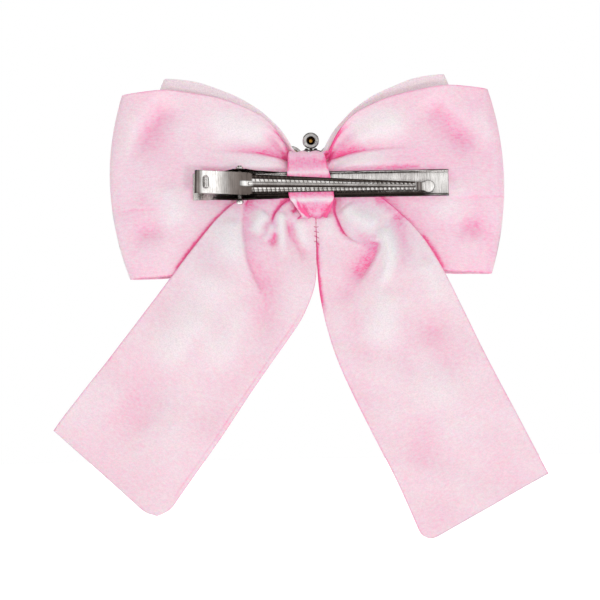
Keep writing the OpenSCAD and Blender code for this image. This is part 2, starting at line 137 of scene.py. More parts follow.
def crease(x, line, depth, wide, near=None, fade=(0.0, 0.0)):
    """Relief of one fold along a given line over points (..., 2).

    wide is its reach on the line's left side and near the reach on its right side, so that a fold can
    fall off sharply on one side. fade is the share of the line's length over which each end dies away.
    """
    near = wide if near is None else near
    path = smooth_curve(line, 40)
    a, b = path[:-1], path[1:]
    best = np.full(x.shape[:-1], 1e9)
    side = np.zeros(x.shape[:-1])
    along = np.zeros(x.shape[:-1])
    for k, (p, q) in enumerate(zip(a, b)):
        d = q - p
        t = np.clip(((x - p) @ d) / (d @ d), 0, 1)
        off = x - (p + t[..., None] * d)
        dist = np.linalg.norm(off, axis=-1)
        closer = dist < best
        best = np.where(closer, dist, best)
        side = np.where(closer, d[0] * off[..., 1] - d[1] * off[..., 0], side)
        along = np.where(closer, (k + t) / len(a), along)
    reach = np.where(side > 0, wide, near)
    start = ease(along / fade[0]) if fade[0] > 0 else 1.0
    end = ease((1 - along) / fade[1]) if fade[1] > 0 else 1.0
    return depth * np.exp(-(best / reach) ** 2) * start * end


def folds(x, marks):
    """Relief and tone of a list of folds at points (..., 2).

    Each mark is (line, depth, wide, near, fade, tint): depth in mm away from the clip side, and tint
    how much deeper (painted shade) or, below 0, paler (painted highlight) the satin looks there.
    """
    relief = np.zeros(x.shape[:-1])
    tone = np.zeros(x.shape[:-1])
    for line, depth, wide, near, fade, tint in marks:
        shape = crease(x, line, 1.0, wide, near, fade)
        relief += depth * shape
        tone += tint * shape
    return relief, tone


def grid_normals(p, around):
    """Unit normals of a grid of points (u, v, 3); around is true where u closes on itself."""
    if around:
        du = np.roll(p, -1, axis=0) - np.roll(p, 1, axis=0)
    else:
        du = np.gradient(p, axis=0)
    dv = np.gradient(p, axis=1)
    n = np.cross(du, dv)
    return n / np.maximum(np.linalg.norm(n, axis=-1, keepdims=True), 1e-9)


def edge_rows(height, thick, count):
    """Shares of the way across a ribbon, closely spaced where its edges are rounded."""
    r = thick / 2 / height
    rim = np.array([0, 0.06, 0.25, 0.55, 1.0, 1.8]) * r
    return np.concatenate([rim, np.linspace(rim[-1], 1 - rim[-1], count)[1:-1], 1 - rim[::-1]])


def edge_shape(v, height, thick):
    """Half of the ribbon's thickness at each row: round at both edges."""
    r = thick / 2
    d = np.clip(np.minimum(v, 1 - v) * height / r, 0, 1)
    return r * np.sqrt(np.maximum(1 - (1 - d) ** 2, 0))


def run_along(p):
    """Distance covered at each point of a line."""
    return np.concatenate([[0], np.cumsum(np.linalg.norm(np.diff(p, axis=0), axis=1))])


def new_piece(name, points, faces, smooth):
    """A new object from points in millimetres."""
    mesh = bpy.data.meshes.new(name)
    mesh.from_pydata((np.array(points) * MM).tolist(), [], faces)
    mesh.polygons.foreach_set("use_smooth", [smooth] * len(mesh.polygons))
    mesh.update()
    piece = bpy.data.objects.new(name, mesh)
    bpy.context.scene.collection.objects.link(piece)
    return piece


def ribbon(name, middle, rows, height, thick, around, weave, tone):
    """A closed flat tube of satin about a middle surface (u, v, 3) in millimetres.

    weave is (u, v, 2): the position on the flat ribbon in millimetres, kept as the piece's UV map.
    tone is (u, v): how deep the pink looks, as painted shade and highlight, kept as an attribute; both edges
    get a little painted shade.
    """
    rim = np.minimum(rows, 1 - rows)[None, :] * height
    tone = tone + RIM_SHADE * np.exp(-(rim / RIM_REACH) ** 2)
    nu, nv = middle.shape[:2]
    half = edge_shape(rows, height, thick)[None, :, None]
    n = grid_normals(middle, around)
    outer = middle + n * half
    inner = (middle - n * half)[:, 1:-1]
    loop = np.concatenate([outer, inner[:, ::-1]], axis=1)
    uv = np.concatenate([weave, weave[:, 1:-1][:, ::-1]], axis=1)
    tones = np.concatenate([tone, tone[:, 1:-1][:, ::-1]], axis=1)
    nl = loop.shape[1]
    faces = []
    corner_uv = []
    for i in range(nu if around else nu - 1):
        k = (i + 1) % nu
        for j in range(nl):
            m = (j + 1) % nl
            faces.append((i * nl + j, k * nl + j, k * nl + m, i * nl + m))
            shift = np.array([weave[-1, 0, 0] + weave[1, 0, 0] - weave[0, 0, 0], 0]) if k < i else 0
            corner_uv += [uv[i, j], uv[k, j] + shift, uv[k, m] + shift, uv[i, m]]
    if not around:
        for i, flip in ((0, False), (nu - 1, True)):
            for j in range(nv - 1):
                a, b = i * nl + j, i * nl + j + 1
                c = i * nl + (nl - j) % nl if j else a
                d = i * nl + nl - j - 1 if j < nv - 2 else b
                quad = [q for k, q in enumerate((a, b, d, c)) if q not in (a, b, d, c)[:k]]
                faces.append(tuple(quad if flip else quad[::-1]))
                corner_uv += [uv[q // nl, q % nl] for q in faces[-1]]
    piece = new_piece(name, loop.reshape(-1, 3), faces, True)
    layer = piece.data.uv_layers.new(name="weave")
    layer.data.foreach_set("uv", (np.array(corner_uv) * UV_PER_MM).astype(np.float32).ravel())
    attribute = piece.data.attributes.new("tone", "FLOAT", "POINT")
    attribute.data.foreach_set("value", tones.astype(np.float32).ravel())
    return piece


def swept_faces(rings, sides, start=0):
    """Faces of a closed bar whose rings of points follow one another from number start."""
    faces = []
    for i in range(rings - 1):
        for j in range(sides):
            a, b = start + i * sides + j, start + i * sides + (j + 1) % sides
            faces.append((a, b, b + sides, a + sides))
    faces.append(tuple(start + j for j in range(sides))[::-1])
    faces.append(tuple(start + (rings - 1) * sides + j for j in range(sides)))
    return faces


def finish_piece(piece, material, slot, body, *nodes):
    """Gives a piece its material, the body it rides on and the CAD nodes it stands for; slot is not used."""
    piece.data.materials.append(material)
    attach(piece, body)
    if nodes:
        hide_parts(*nodes)


# ---------------------------------------------------------------- materials

WHITE = (1.0, 1.0, 1.0)
BLACK = (0.0, 0.0, 0.0)


def new_material(name):
    """A new material, its node tree and its shader."""
    material = bpy.data.materials.new(name)
    material.use_nodes = True
    tree = material.node_tree
    return material, tree, tree.nodes["Principled BSDF"]


def add(tree, kind, **values):
    """A new node; each value sets the input of that name or, where there is none, the node's own setting."""
    node = tree.nodes.new(kind)
    for key, value in values.items():
        if key in node.inputs:
            node.inputs[key].default_value = value
        else:
            setattr(node, key, value)
    return node


def noise(tree, source, scale, detail=2.0, rough=0.5):
    """Noise of 0 to 1 over coordinates that are stretched by scale along each axis."""
    mapping = add(tree, "ShaderNodeMapping", Scale=scale)
    tree.links.new(source, mapping.inputs["Vector"])
    node = add(tree, "ShaderNodeTexNoise", Scale=1.0, Detail=detail, Roughness=rough)
    tree.links.new(mapping.outputs["Vector"], node.inputs["Vector"])
    return node.outputs["Fac"]


def ramp(tree, value, stops):
    """A colour read off stops of (place, colour)."""
    node = add(tree, "ShaderNodeValToRGB")
    elements = node.color_ramp.elements
    while len(elements) < len(stops):
        elements.new(0.5)
    for element, (at, colour) in zip(elements, stops):
        element.position = at
        element.color = (*colour, 1)
    tree.links.new(value, node.inputs["Fac"])
    return node.outputs["Color"]


def mix_colour(tree, factor, a, b, blend="MIX"):
    """Colour a mixed with colour b; each argument is a fixed value or an output."""
    node = add(tree, "ShaderNodeMix", data_type="RGBA", blend_type=blend)
    # the colour sockets share their names with the other data types, so they go by number
    for socket, value in ((node.inputs[0], factor), (node.inputs[6], a), (node.inputs[7], b)):
        if isinstance(value, tuple):
            socket.default_value = (*value, 1)
        elif isinstance(value, float):
            socket.default_value = value
        else:
            tree.links.new(value, socket)
    return node.outputs[2]


def times(tree, a, b):
    return mix_colour(tree, 1.0, a, b, "MULTIPLY")


def calculate(tree, operation, *values):
    """One calculation on fixed numbers or outputs."""
    node = add(tree, "ShaderNodeMath", operation=operation)
    for socket, value in zip(node.inputs, values):
        if isinstance(value, float):
            socket.default_value = value
        else:
            tree.links.new(value, socket)
    return node.outputs[0]


def blend_sum(tree, parts, start):
    """start plus each value times its share."""
    total = start
    for value, share in parts:
        total = calculate(tree, "MULTIPLY_ADD", value, share, total)
    return total


def component(tree, vector, axis):
    split = add(tree, "ShaderNodeSeparateXYZ")
    tree.links.new(vector, split.inputs["Vector"])
    return split.outputs[axis]


def half_range(tree, value):
    """-1..1 brought to 0..1."""
    return blend_sum(tree, [(value, 0.5)], 0.5)


def bump(tree, height, strength, distance, before=None):
    """A normal with fine relief, on top of the relief that came before."""
    node = add(tree, "ShaderNodeBump", Strength=strength, Distance=distance)
    tree.links.new(height, node.inputs["Height"])
    if before is not None:
        tree.links.new(before, node.inputs["Normal"])
    return node.outputs["Normal"]


def uneven_gloss(tree, shader, marks, smoothest, roughest):
    """Roughness that follows a noise."""
    node = add(tree, "ShaderNodeMapRange")
    for key, value in (("From Min", 0.3), ("From Max", 0.7), ("To Min", smoothest), ("To Max", roughest)):
        node.inputs[key].default_value = value
    tree.links.new(marks, node.inputs["Value"])
    tree.links.new(node.outputs["Result"], shader.inputs["Roughness"])


def satin(name, shift=0.0, creping=(4.5, 19.0, 1.0), shade_tint=WHITE):
    """Polyester satin: a painted white sheen on the swells, painted deep pink shade in the folds, fine
    crinkles and floats.

    The pink is coloured in: it deepens with the piece's tone (painted shade and highlight), as painted shade
    in hollows found by ambient occlusion, and with a few noises.
    shift makes the whole piece deeper (above 0, painted shade) or paler (painted light). creping is how
    closely the fine ripples lie along and across the ribbon, per centimetre. dye tints the whole cloth, as
    painted shade where a piece gets more light.
    """
    material, tree, shader = new_material(name)
    weave = add(tree, "ShaderNodeUVMap", uv_map="weave").outputs["UV"]
    place = add(tree, "ShaderNodeTexCoord").outputs["Object"]
    tone = add(tree, "ShaderNodeAttribute", attribute_name="tone").outputs["Fac"]
    hidden = add(tree, "ShaderNodeAmbientOcclusion", samples=8, Distance=0.0045).outputs["AO"]

    floats = noise(tree, weave, (7.0, 60.0, 1.0), 2.0, 0.6)
    slubs = noise(tree, weave, (3.0, 22.0, 1.0), 3.0, 0.6)
    crinkle = noise(tree, place, (900.0, 900.0, 1500.0), 3.0, 0.6)
    grain = noise(tree, place, (2600.0, 2600.0, 3600.0), 2.0, 0.6)
    cloud = noise(tree, place, (62.0, 62.0, 74.0), 3.0, 0.55)
    ripple = noise(tree, weave, creping, 3.0, 0.6)

    # each noise is about 0.5 on average, and hidden is 1 where nothing lies near; hollow sets how much
    # painted shade the occlusion adds
    noises = [(cloud, 0.36), (ripple, 0.42), (crinkle, 0.55), (grain, 0.8)]
    average = 0.5 * sum(share for _, share in noises)
    hollow = 0.75
    open_cloth = 0.37 + shift
    depth = blend_sum(tree, [(tone, 0.5), (hidden, -hollow), *noises], open_cloth + hollow - average)
    # the pale end of the ramp is a painted sheen, the deep pink end painted shade
    colour = ramp(tree, depth, [
        (0.0, (0.92, 0.82, 0.835)), (0.25, (0.915, 0.73, 0.78)), (0.5, (0.91, 0.595, 0.695)),
        (0.66, (0.905, 0.475, 0.62)), (0.8, (0.905, 0.345, 0.54)), (0.9, (0.91, 0.22, 0.43)),
        (1.0, (0.93, 0.10, 0.31))])
    threads = ramp(tree, floats, [(0.3, (0.98, 0.94, 0.96)), (0.7, WHITE)])
    speckle = ramp(tree, grain, [(0.36, (0.86, 0.84, 0.86)), (0.6, WHITE)])
    cloth = times(tree, colour, times(tree, threads, shade_tint))
    tree.links.new(times(tree, cloth, speckle), shader.inputs["Base Color"])
    uneven_gloss(tree, shader, slubs, 0.36, 0.5)

    relief = bump(tree, crinkle, 0.35, 0.00016)
    relief = bump(tree, grain, 0.3, 0.00006, relief)
    relief = bump(tree, slubs, 0.2, 0.00008, relief)
    relief = bump(tree, floats, 0.3, 0.00005, relief)
    tree.links.new(relief, shader.inputs["Normal"])
    shader.inputs["Specular IOR Level"].default_value = 0.6
    shader.inputs["Subsurface Weight"].default_value = 0.35
    shader.inputs["Subsurface Radius"].default_value = (1.0, 0.16, 0.4)
    shader.inputs["Subsurface Scale"].default_value = 0.0025
    shader.inputs["Sheen Weight"].default_value = 0.1
    shader.inputs["Sheen Roughness"].default_value = 0.45
    return material


def straight(tree, place, direction, start):
    """start plus the position measured along a direction."""
    node = add(tree, "ShaderNodeVectorMath", operation="DOT_PRODUCT")
    tree.links.new(place, node.inputs[0])
    node.inputs[1].default_value = direction
    return blend_sum(tree, [(node.outputs["Value"], 1.0)], start)


def past(tree, place, start, over):
    """0 to 1 along X over a stretch of millimetres that begins at start; backwards where over is below 0."""
    return straight(tree, place, (1 / (over * MM), 0.0, 0.0), -start / over)


def greys(stops):
    """Ramp stops from a list of (place, brightness); the dark ones are brown."""
    return [(at, (v, v * (1 - 0.3 * (1 - v) ** 4), v * (1 - 0.42 * (1 - v) ** 4))) for at, v in stops]


TOOTH_PITCH = 1.27 * MM
TOOTH_SLANT = 1400.0  # how fast the painted glints on the teeth lean, per metre of Z


def channel_line():
    """Middle line and half width of the toothed channel: each its value at X 0 and its slope, in metres."""
    mesh = NODES["top_jaw"].data
    p = np.array([v.co[:] for v in mesh.vertices])
    stations = np.arange(-0.014, 0.030, 0.002)
    bands = [p[(p[:, 0] > x - 0.001) & (p[:, 0] < x + 0.001)][:, 2] for x in stations]
    low = np.polyfit(stations, [b.min() for b in bands], 1)
    high = np.polyfit(stations, [b.max() for b in bands], 1)
    return (low + high)[::-1] / 2, (high - low)[::-1] / 2


def lever_painted_reflections(tree, place):
    """Painted reflections on the top jaw: bright about the hook slot, darker on, then the channel's lines.
    """
    middle, half = channel_line()
    off = straight(tree, place, (-middle[1], 0.0, 1.0), -middle[0])
    reach = straight(tree, place, (half[1], 0.0, 0.0), half[0])
    across = half_range(tree, calculate(tree, "DIVIDE", off, reach))
    channel = ramp(tree, across, greys([
        (0.0, 0.08), (0.05, 0.15), (0.08, 0.9), (0.27, 1.0), (0.31, 0.08), (0.37, 0.03), (0.42, 0.25),
        (0.52, 0.5), (0.59, 0.35), (0.63, 0.95), (0.74, 0.95), (0.78, 0.08), (0.84, 0.16), (0.9, 0.12),
        (0.97, 0.03)]))
    # a painted glint on each tooth of the two rails, and none on the channel's floor between them
    turn = straight(tree, place, (2 * math.pi / TOOTH_PITCH, 0.0, TOOTH_SLANT), 0.0)
    wave = half_range(tree, calculate(tree, "SINE", turn))
    tooth_glints = ramp(tree, wave, greys([(0.02, 0.3), (0.35, 1.0)]))
    floor = ramp(tree, across, greys([(0.28, 0.0), (0.32, 1.0), (0.6, 1.0), (0.64, 0.0)]))
    channel = times(tree, channel, mix_colour(tree, floor, tooth_glints, WHITE))
    plate = ramp(tree, past(tree, place, -34.0, 17.0), greys([
        (0.0, 0.1), (0.05, 0.3), (0.10, 0.2), (0.14, 0.6), (0.19, 1.0), (0.42, 1.0), (0.52, 0.5),
        (0.64, 0.24), (0.8, 0.16), (1.0, 0.14)]))
    # a painted highlight: a bright wedge leads from the plate into the channel
    wedge = ramp(tree, across, greys([(0.34, 0.0), (0.41, 1.0), (0.6, 1.0), (0.68, 0.0)]))
    begun = ramp(tree, past(tree, place, -20.8, 5.0), greys([(0.0, 0.0), (0.3, 1.0)]))
    plate = mix_colour(tree, 1.0, plate, times(tree, wedge, begun), "LIGHTEN")
    toothed = ramp(tree, past(tree, place, -17.2, 2.5), greys([(0.0, 0.0), (0.3, 1.0)]))
    tip = ramp(tree, past(tree, place, 31.2, 2.5), greys([(0.0, 0.0), (0.1, 1.0)]))
    neck = ramp(tree, past(tree, place, 31.0, 4.0), greys([
        (0.0, 0.9), (0.12, 0.6), (0.2, 0.08), (0.36, 0.3), (0.52, 0.1), (0.6, 1.0)]))
    return mix_colour(tree, tip, mix_colour(tree, toothed, plate, channel), neck)


def stained(tree, place):
    return noise(tree, place, (230.0, 230.0, 160.0), 3.0, 0.6)


def base_reflections_and_shade(tree, place):
    """Painted reflections and shade on the base jaw: dark brown flanges, the lower one widest under the
    lever, where the lever shades it.
    """
    height = straight(tree, place, (0.0, 0.0, 1.0), 0.0)
    # 0 to 1 over the 10 mm from one flange to the other, made a little unsteady by the stains
    off = blend_sum(tree, [(height, 100.0), (stained(tree, place), 0.05)], 0.5 - 0.025)
    wide = ramp(tree, off, greys([(0.12, 0.06), (0.255, 0.1), (0.285, 1.0), (0.866, 1.0), (0.872, 0.015)]))
    narrow = ramp(tree, off, greys([(0.12, 0.06), (0.15, 1.0), (0.866, 1.0), (0.872, 0.015)]))
    end = ramp(tree, past(tree, place, 33.5, 4.0), greys([(0.0, 0.0), (1.0, 1.0)]))
    start = ramp(tree, past(tree, place, -27.2, -2.0), greys([(0.0, 0.0), (1.0, 1.0)]))
    return mix_colour(tree, start, mix_colour(tree, end, wide, narrow), (1.0, 0.98, 0.96))


def plated_metal(name, colour, shade, rough, streak, edge_width, dark=(0.035, 0.024, 0.02), painted_light=None):
    """Plate with brush marks, stretched along each axis by streak; cut edges get a painted dark reflection
    and hollows painted shade.

    wear(tree, place), where given, is painted reflection and shade: how bright the plate looks at each
    place, except on faces that stand up sideways.
    """
    material, tree, shader = new_material(name)
    place = add(tree, "ShaderNodeTexCoord").outputs["Object"]
    marks = noise(tree, place, streak, 4.0, 0.65)
    dents = noise(tree, place, (240.0, 240.0, 90.0), 1.0, 0.5)
    tone = ramp(tree, stained(tree, place), [(0.36, shade), (0.6, colour)])
    lines = ramp(tree, marks, [(0.3, (0.5, 0.49, 0.48)), (0.48, (0.86, 0.85, 0.84)), (0.66, WHITE)])
    face = times(tree, tone, lines)

    true = add(tree, "ShaderNodeNewGeometry").outputs["Normal"]
    rounded = add(tree, "ShaderNodeBevel", samples=6, Radius=edge_width).outputs["Normal"]
    alike = add(tree, "ShaderNodeVectorMath", operation="DOT_PRODUCT")
    tree.links.new(true, alike.inputs[0])
    tree.links.new(rounded, alike.inputs[1])
    hidden = add(tree, "ShaderNodeAmbientOcclusion", samples=6, Distance=0.0014).outputs["AO"]
    # painted dark reflection along the edges, and painted shade in the hollows that ambient occlusion finds
    corner = ramp(tree, alike.outputs["Value"], [(0.86, BLACK), (0.985, WHITE)])
    nook = ramp(tree, hidden, [(0.45, (0.05, 0.04, 0.035)), (0.93, WHITE)])
    face = times(tree, mix_colour(tree, corner, dark, face), nook)
    if painted_light is not None:
        sideways = calculate(tree, "ABSOLUTE", component(tree, true, "Z"))
        wall = ramp(tree, sideways, [(0.7, BLACK), (0.9, WHITE)])
        face = mix_colour(tree, wall, times(tree, face, painted_light(tree, place)), face)
    tree.links.new(face, shader.inputs["Base Color"])

    uneven_gloss(tree, shader, marks, *rough)
    relief = bump(tree, marks, 0.15, 0.00003)
    tree.links.new(bump(tree, dents, 1.0, 0.0001, relief), shader.inputs["Normal"])
    shader.inputs["Metallic"].default_value = 1.0
    return material


def crystal(name):
    """Cut stone; its back, towards the clip side, carries a bronze foil."""
    material, tree, shader = new_material(name)
    normal = add(tree, "ShaderNodeNewGeometry").outputs["Normal"]
    back = calculate(tree, "LESS_THAN", component(tree, normal, "Y"), -0.15)
    place = add(tree, "ShaderNodeTexCoord").outputs["Object"]
    mottle = noise(tree, place, (900.0, 900.0, 900.0), 3.0, 0.6)
    foil = ramp(tree, mottle, [(0.3, (0.20, 0.09, 0.012)), (0.7, (0.52, 0.26, 0.035))])
    glint = ramp(tree, mottle, [(0.3, (0.86, 0.84, 0.88)), (0.7, (1.0, 0.97, 0.98))])
    tree.links.new(mix_colour(tree, back, glint, foil), shader.inputs["Base Color"])
    tree.links.new(back, shader.inputs["Metallic"])
    shader.inputs["Roughness"].default_value = 0.06
    shader.inputs["IOR"].default_value = 1.6
    shader.inputs["Coat Weight"].default_value = 0.6
    return material


def plain_glue(name):
    """Clear yellowish glue with a slight haze."""
    material, tree, shader = new_material(name)
    place = add(tree, "ShaderNodeTexCoord").outputs["Object"]
    haze = noise(tree, place, (300.0, 300.0, 300.0))
    tree.links.new(ramp(tree, haze, [(0.3, (0.86, 0.8, 0.68)), (0.7, (0.95, 0.92, 0.85))]),
                   shader.inputs["Base Color"])
    tree.links.new(bump(tree, haze, 0.3, 0.0002), shader.inputs["Normal"])
    shader.inputs["Roughness"].default_value = 0.35
    return material


def sewing_thread(name):
    """Deep pink twisted thread."""
    material, tree, shader = new_material(name)
    place = add(tree, "ShaderNodeTexCoord").outputs["Object"]
    twist = noise(tree, place, (5000.0, 5000.0, 1600.0))
    tree.links.new(ramp(tree, twist, [(0.3, (0.4, 0.03, 0.09)), (0.7, (0.62, 0.12, 0.25))]),
                   shader.inputs["Base Color"])
    tree.links.new(bump(tree, twist, 0.5, 0.0001), shader.inputs["Normal"])
    shader.inputs["Roughness"].default_value = 0.6
    return material


# one satin in four copies: the front bow painted paler, the knot deeper and the tails tinted, as painted
# light and shade for how light falls on each
BOW_SATIN = satin("bow_satin")
FRONT_SATIN = satin("front_satin", -0.28)
TAIL_SATIN = satin("tail_satin", -0.05, (17.0, 5.0, 1.0), (0.89, 0.955, 0.945))
KNOT_SATIN = satin("knot_satin", 0.16)
LEVER_STEEL = plated_metal("lever_steel", (0.90, 0.89, 0.88), (0.62, 0.60, 0.58), (0.1, 0.2),
                           (4200.0, 900.0, 160.0), 0.00035, painted_light=lever_painted_reflections)
BASE_STEEL = plated_metal("base_steel", (0.88, 0.87, 0.86), (0.74, 0.72, 0.71), (0.14, 0.26),
                          (3200.0, 900.0, 300.0), 0.0003, painted_light=base_reflections_and_shade)
SPRING_STEEL = plated_metal("spring_steel", (0.95, 0.94, 0.93), (0.85, 0.84, 0.82), (0.15, 0.3),
                            (900.0, 900.0, 4200.0), 0.0001)
PIN_STEEL = plated_metal("pin_steel", (0.92, 0.91, 0.89), (0.75, 0.74, 0.72), (0.12, 0.25),
                         (1500.0, 1500.0, 1500.0), 0.0003)
CUP_METAL = plated_metal("cup_metal", (0.86, 0.85, 0.84), (0.5, 0.49, 0.49), (0.1, 0.28),
                         (1200.0, 1200.0, 1200.0), 0.0004)
ANTIQUE_METAL = plated_metal("antique_metal", (0.6, 0.59, 0.58), (0.12, 0.11, 0.11), (0.15, 0.35),
                             (1400.0, 1400.0, 1400.0), 0.0003)
CRYSTAL = crystal("crystal")
GLUE = plain_glue("glue")
THREAD = sewing_thread("thread")


# ---------------------------------------------------------------- bow bands

def band_side(count):
    """Shares of the way from the knot to a loop's fold, closer together near both ends."""
    t = np.linspace(0, 1, count)
    return 0.5 * (np.sin(t * math.pi / 2) + (1 - np.cos(t * math.pi)) / 2)


def bow_band(name, shape, relief):
    """One band: a closed ring of ribbon, pinched at the knot into a left and a right loop.

    shape holds the loop's sizes and profiles; relief(points, share, front, left) gives how far the
    satin stands towards the front at points (..., 2) of X and Z.
    """
    share = band_side(shape["columns"])
    rows = edge_rows(shape["height"], shape["thick"], shape["rows"])
    reach, full, depth = shape["reach"], shape["full"], shape["depth"]
    flat_x = share * reach
    top = through(flat_x, shape["top"])
    bottom = through(flat_x, shape["bottom"])
    gathered = shape["gathered"]
    rising = gathered + (depth - gathered) * (1 - np.cos(np.pi * np.clip(flat_x / full, 0, 1))) / 2
    closing = depth * np.sqrt(np.clip(1 - ((flat_x - full) / (reach - full)) ** 2, 0, 1))
    deep = np.where(flat_x < full, rising, closing)
    lift = np.where(flat_x < full, 0, (depth - closing) / 2)
    bedding = shape["bed"](flat_x)

    def side(front, left):
        bow = (2 * rows[None, :] - 1) ** 2
        x = flat_x[:, None] - shape["fold_bow"] * (share ** 2)[:, None] * bow
        if left:
            x = x - shape["tuck"] * (share ** 2)[:, None] * (1 - rows[None, :]) ** 2
        z = bottom[:, None] + (top - bottom)[:, None] * rows[None, :]
        y = (shape["back_y"] + bedding + lift + (deep if front else 0))[:, None] + 0 * x
        x = x + shape["lean"] * (1 if left else -1) * share[:, None]
        flat = np.stack([-x if left else x, z], axis=-1)
        stand, tone = relief(flat, share[:, None] + 0 * x, rows[None, :] + 0 * x, front, left)
        return np.stack([flat[..., 0], y + stand, z, tone], axis=-1)

    right_back, right_front = side(False, False), side(True, False)
    left_back, left_front = side(False, True), side(True, True)
    ring = np.concatenate([
        right_back[:-1], right_front[::-1][:-1], left_front[:-1], left_back[::-1][:-1],
    ])
    ring, tone = ring[..., :3], ring[..., 3]
    mid = ring[:, ring.shape[1] // 2]
    run = run_along(mid)
    weave = np.stack(np.broadcast_arrays(run[:, None], (rows * shape["height"])[None, :]), axis=-1)
    return ribbon(name, ring, rows, shape["height"], shape["thick"], True, weave, tone)


def gather(share, rows, reach, count, phase, height, seed):
    """Pleats that run out from the knot along the ribbon and die away."""
    rng = np.random.default_rng(seed)
    wander = rng.uniform(-0.5, 0.5)
    fall = np.exp(-np.clip(share * reach - 5, 0, None) / 7.5)
    return height * fall * np.sin(2 * math.pi * (rows * count + phase + wander * share))


def back_relief(flat, share, rows, front, left):
    """Folds of the large loops; the back side is the one that lies towards the clip."""
    p = flat * np.array([-1 if left else 1, 1])
    edge = np.clip(share * 5, 0, 1)
    pleats = gather(share, rows, 59, 4.5, 0.15 if left else 0.6, 0.6, 3 if left else 4)
    soft = swell(flat, 31 + left + 10 * front, 24)
    if front:
        # the front side: swells with painted highlights
        stand, tone = folds(p, [
            ([(8, 4), (24, 7), (40, 12)], -1.0, 5, 2.2, (0, 0.5), -0.2),
            ([(8, -3), (22, -9), (36, -14)], -0.9, 4, 2.5, (0, 0.5), -0.2),
        ])
        return (stand + pleats + 0.5 * soft) * edge, tone + 0.12 * soft
    dimple = [(40, 28), (43.5, 23.5), (47, 18.6), (50, 13), (51.5, 6)]
    tail_shadow = [(22.8, -4.6), (30.0, -11.6), (41.0, -25.3)]
    if not left:
        dimple = [(35, 26.5), (40, 21), (43.5, 17), (46.8, 13), (49, 7)]
        tail_shadow = [(32.8, -14.5), (36.4, -19.6), (39.5, -25.6)]
    stand, tone = folds(p, [
        # a ledge of cloth runs out of the knot above the clip, with painted deep pink shade above its lip
        # and a painted highlight below it
        ([(5, 7.4), (10, 9.0), (16, 10.3), (25, 11.2), (33, 11.2)], 1.7, 3.4, 0.5, (0, 0.75), 0.75),
        ([(6, 4.6), (15, 6.4), (26, 7.4)], -0.9, 2.2, 2.4, (0, 0.5), -0.55),
        # the upper edge tucks in at the knot, with painted shade in the tuck
        ([(5.6, 9.6), (7.6, 13.6), (10.5, 17.0), (14, 19.8)], 0.5, 0.9, 0.5, (0, 0.6), 1.2),
        ([(8, 11.4), (12, 14.6), (16, 17.4)], 0.5, 1.8, 1.8, (0.2, 0.5), 0.3),
        # soft hollows where the panel turns towards its fold, with painted shade in them
        (dimple, 1.7, 3.2, 4.2, (0.25, 0.4), 0.45 if left else 0.5),
        # a painted shadow of the tail: a deep line where the tail lies on the loop
        (tail_shadow, 0.0, 0.8, 0.8, (0.1, 0.1), 1.0 if left else 0.8),
        # a soft dent low on the loop, with painted shade in it
        ([(43, -10.5), (47, -12.5), (53, -12)], 1.0, 3.4, 3.4, (0.4, 0.4), 0.18 if left else 0.3),
        # swells with a painted highlight where they catch the light
        ([(11, 12.5), (18, 16.5), (26, 18.5), (33, 17)], -1.3, 5.0, 5.0, (0.25, 0.4), -0.85),
        ([(50, 24), (53, 17), (55, 9)], -0.3, 2.4, 2.4, (0.3, 0.4), -0.3),
        ([(42, 3), (41, -5), (38, -13)], -0.8, 5.5, 5.5, (0.3, 0.4), -0.5),
        # painted shade: the cloth is deeper next to its folded end
        ([(49, 2), (51, -8), (50, -20)], 0.2, 5.0, 7.0, (0.3, 0.3), 0.2),
        # the clip presses into the cloth, and a painted shadow of the clip lies along its top edge
        ([(8, -4.5), (30, -4.5), (42, -3.5)], 0.5, 3.0, 3.0, (0, 0.3), 0.0),
        ([(7, 4.9), (22, 5.2), (34, 5.6)], 0.4, 0.7, 0.7, (0, 0.1), 0.45),
    ])
    # the tube's seam: the upper edge laps over the lower one, with a line of painted shade under the lap
    inside = ease((share - 0.7) / 0.08)
    height = flat[..., 1] + 5.1 - 0.02 * flat[..., 0]
    stand = stand - 0.26 * (ease(height / 0.4) - 0.5) * inside
    tone = tone + 0.4 * np.exp(-((height - 0.1) / 0.3) ** 2) * inside
    # the tone follows the pleats and the soft swells as painted shade, and the right loop is painted deeper
    # to offset the stronger light on it
    return stand + 0.45 * soft * edge - pleats, tone + 0.1 * soft + 0.35 * pleats + (0 if left else 0.14)


def front_relief(flat, share, rows, front, left):
    """Folds of the small loops; the strips that show past the large ones are paler."""
    p = flat * np.array([-1 if left else 1, 1])
    edge = np.clip(share * 5, 0, 1)
    pleats = gather(share, rows, 49, 4.0, 0.3 if left else 0.75, 0.6, 7 if left else 8)
    soft = swell(flat, 41 + left + 2 * front, 22)
    if front:
        # the front side: swells with painted highlights
        stand, tone = folds(p, [
            ([(7, 5), (18, 9), (32, 15)], -1.3, 5, 2.0, (0, 0.6), -0.3),
            ([(7, -2), (18, -5), (30, -7)], -1.1, 4, 2.0, (0, 0.6), -0.3),
            ([(34, 26), (38, 16), (41, 6)], -0.9, 4, 4, (0.3, 0.4), -0.3),
        ])
        return (stand + pleats + 0.4 * soft) * edge, tone + 0.12 * soft
    # the back side is painted paler, as painted light where the large loops shade it
    return 0.4 * soft - pleats, 0.1 * soft - 0.85


def bed(flat_x, height, length):
    """How far a loop is held off by the one behind it, rising from the knot over length."""
    return height * (1 - np.cos(np.pi * np.clip(flat_x / length, 0, 1))) / 2


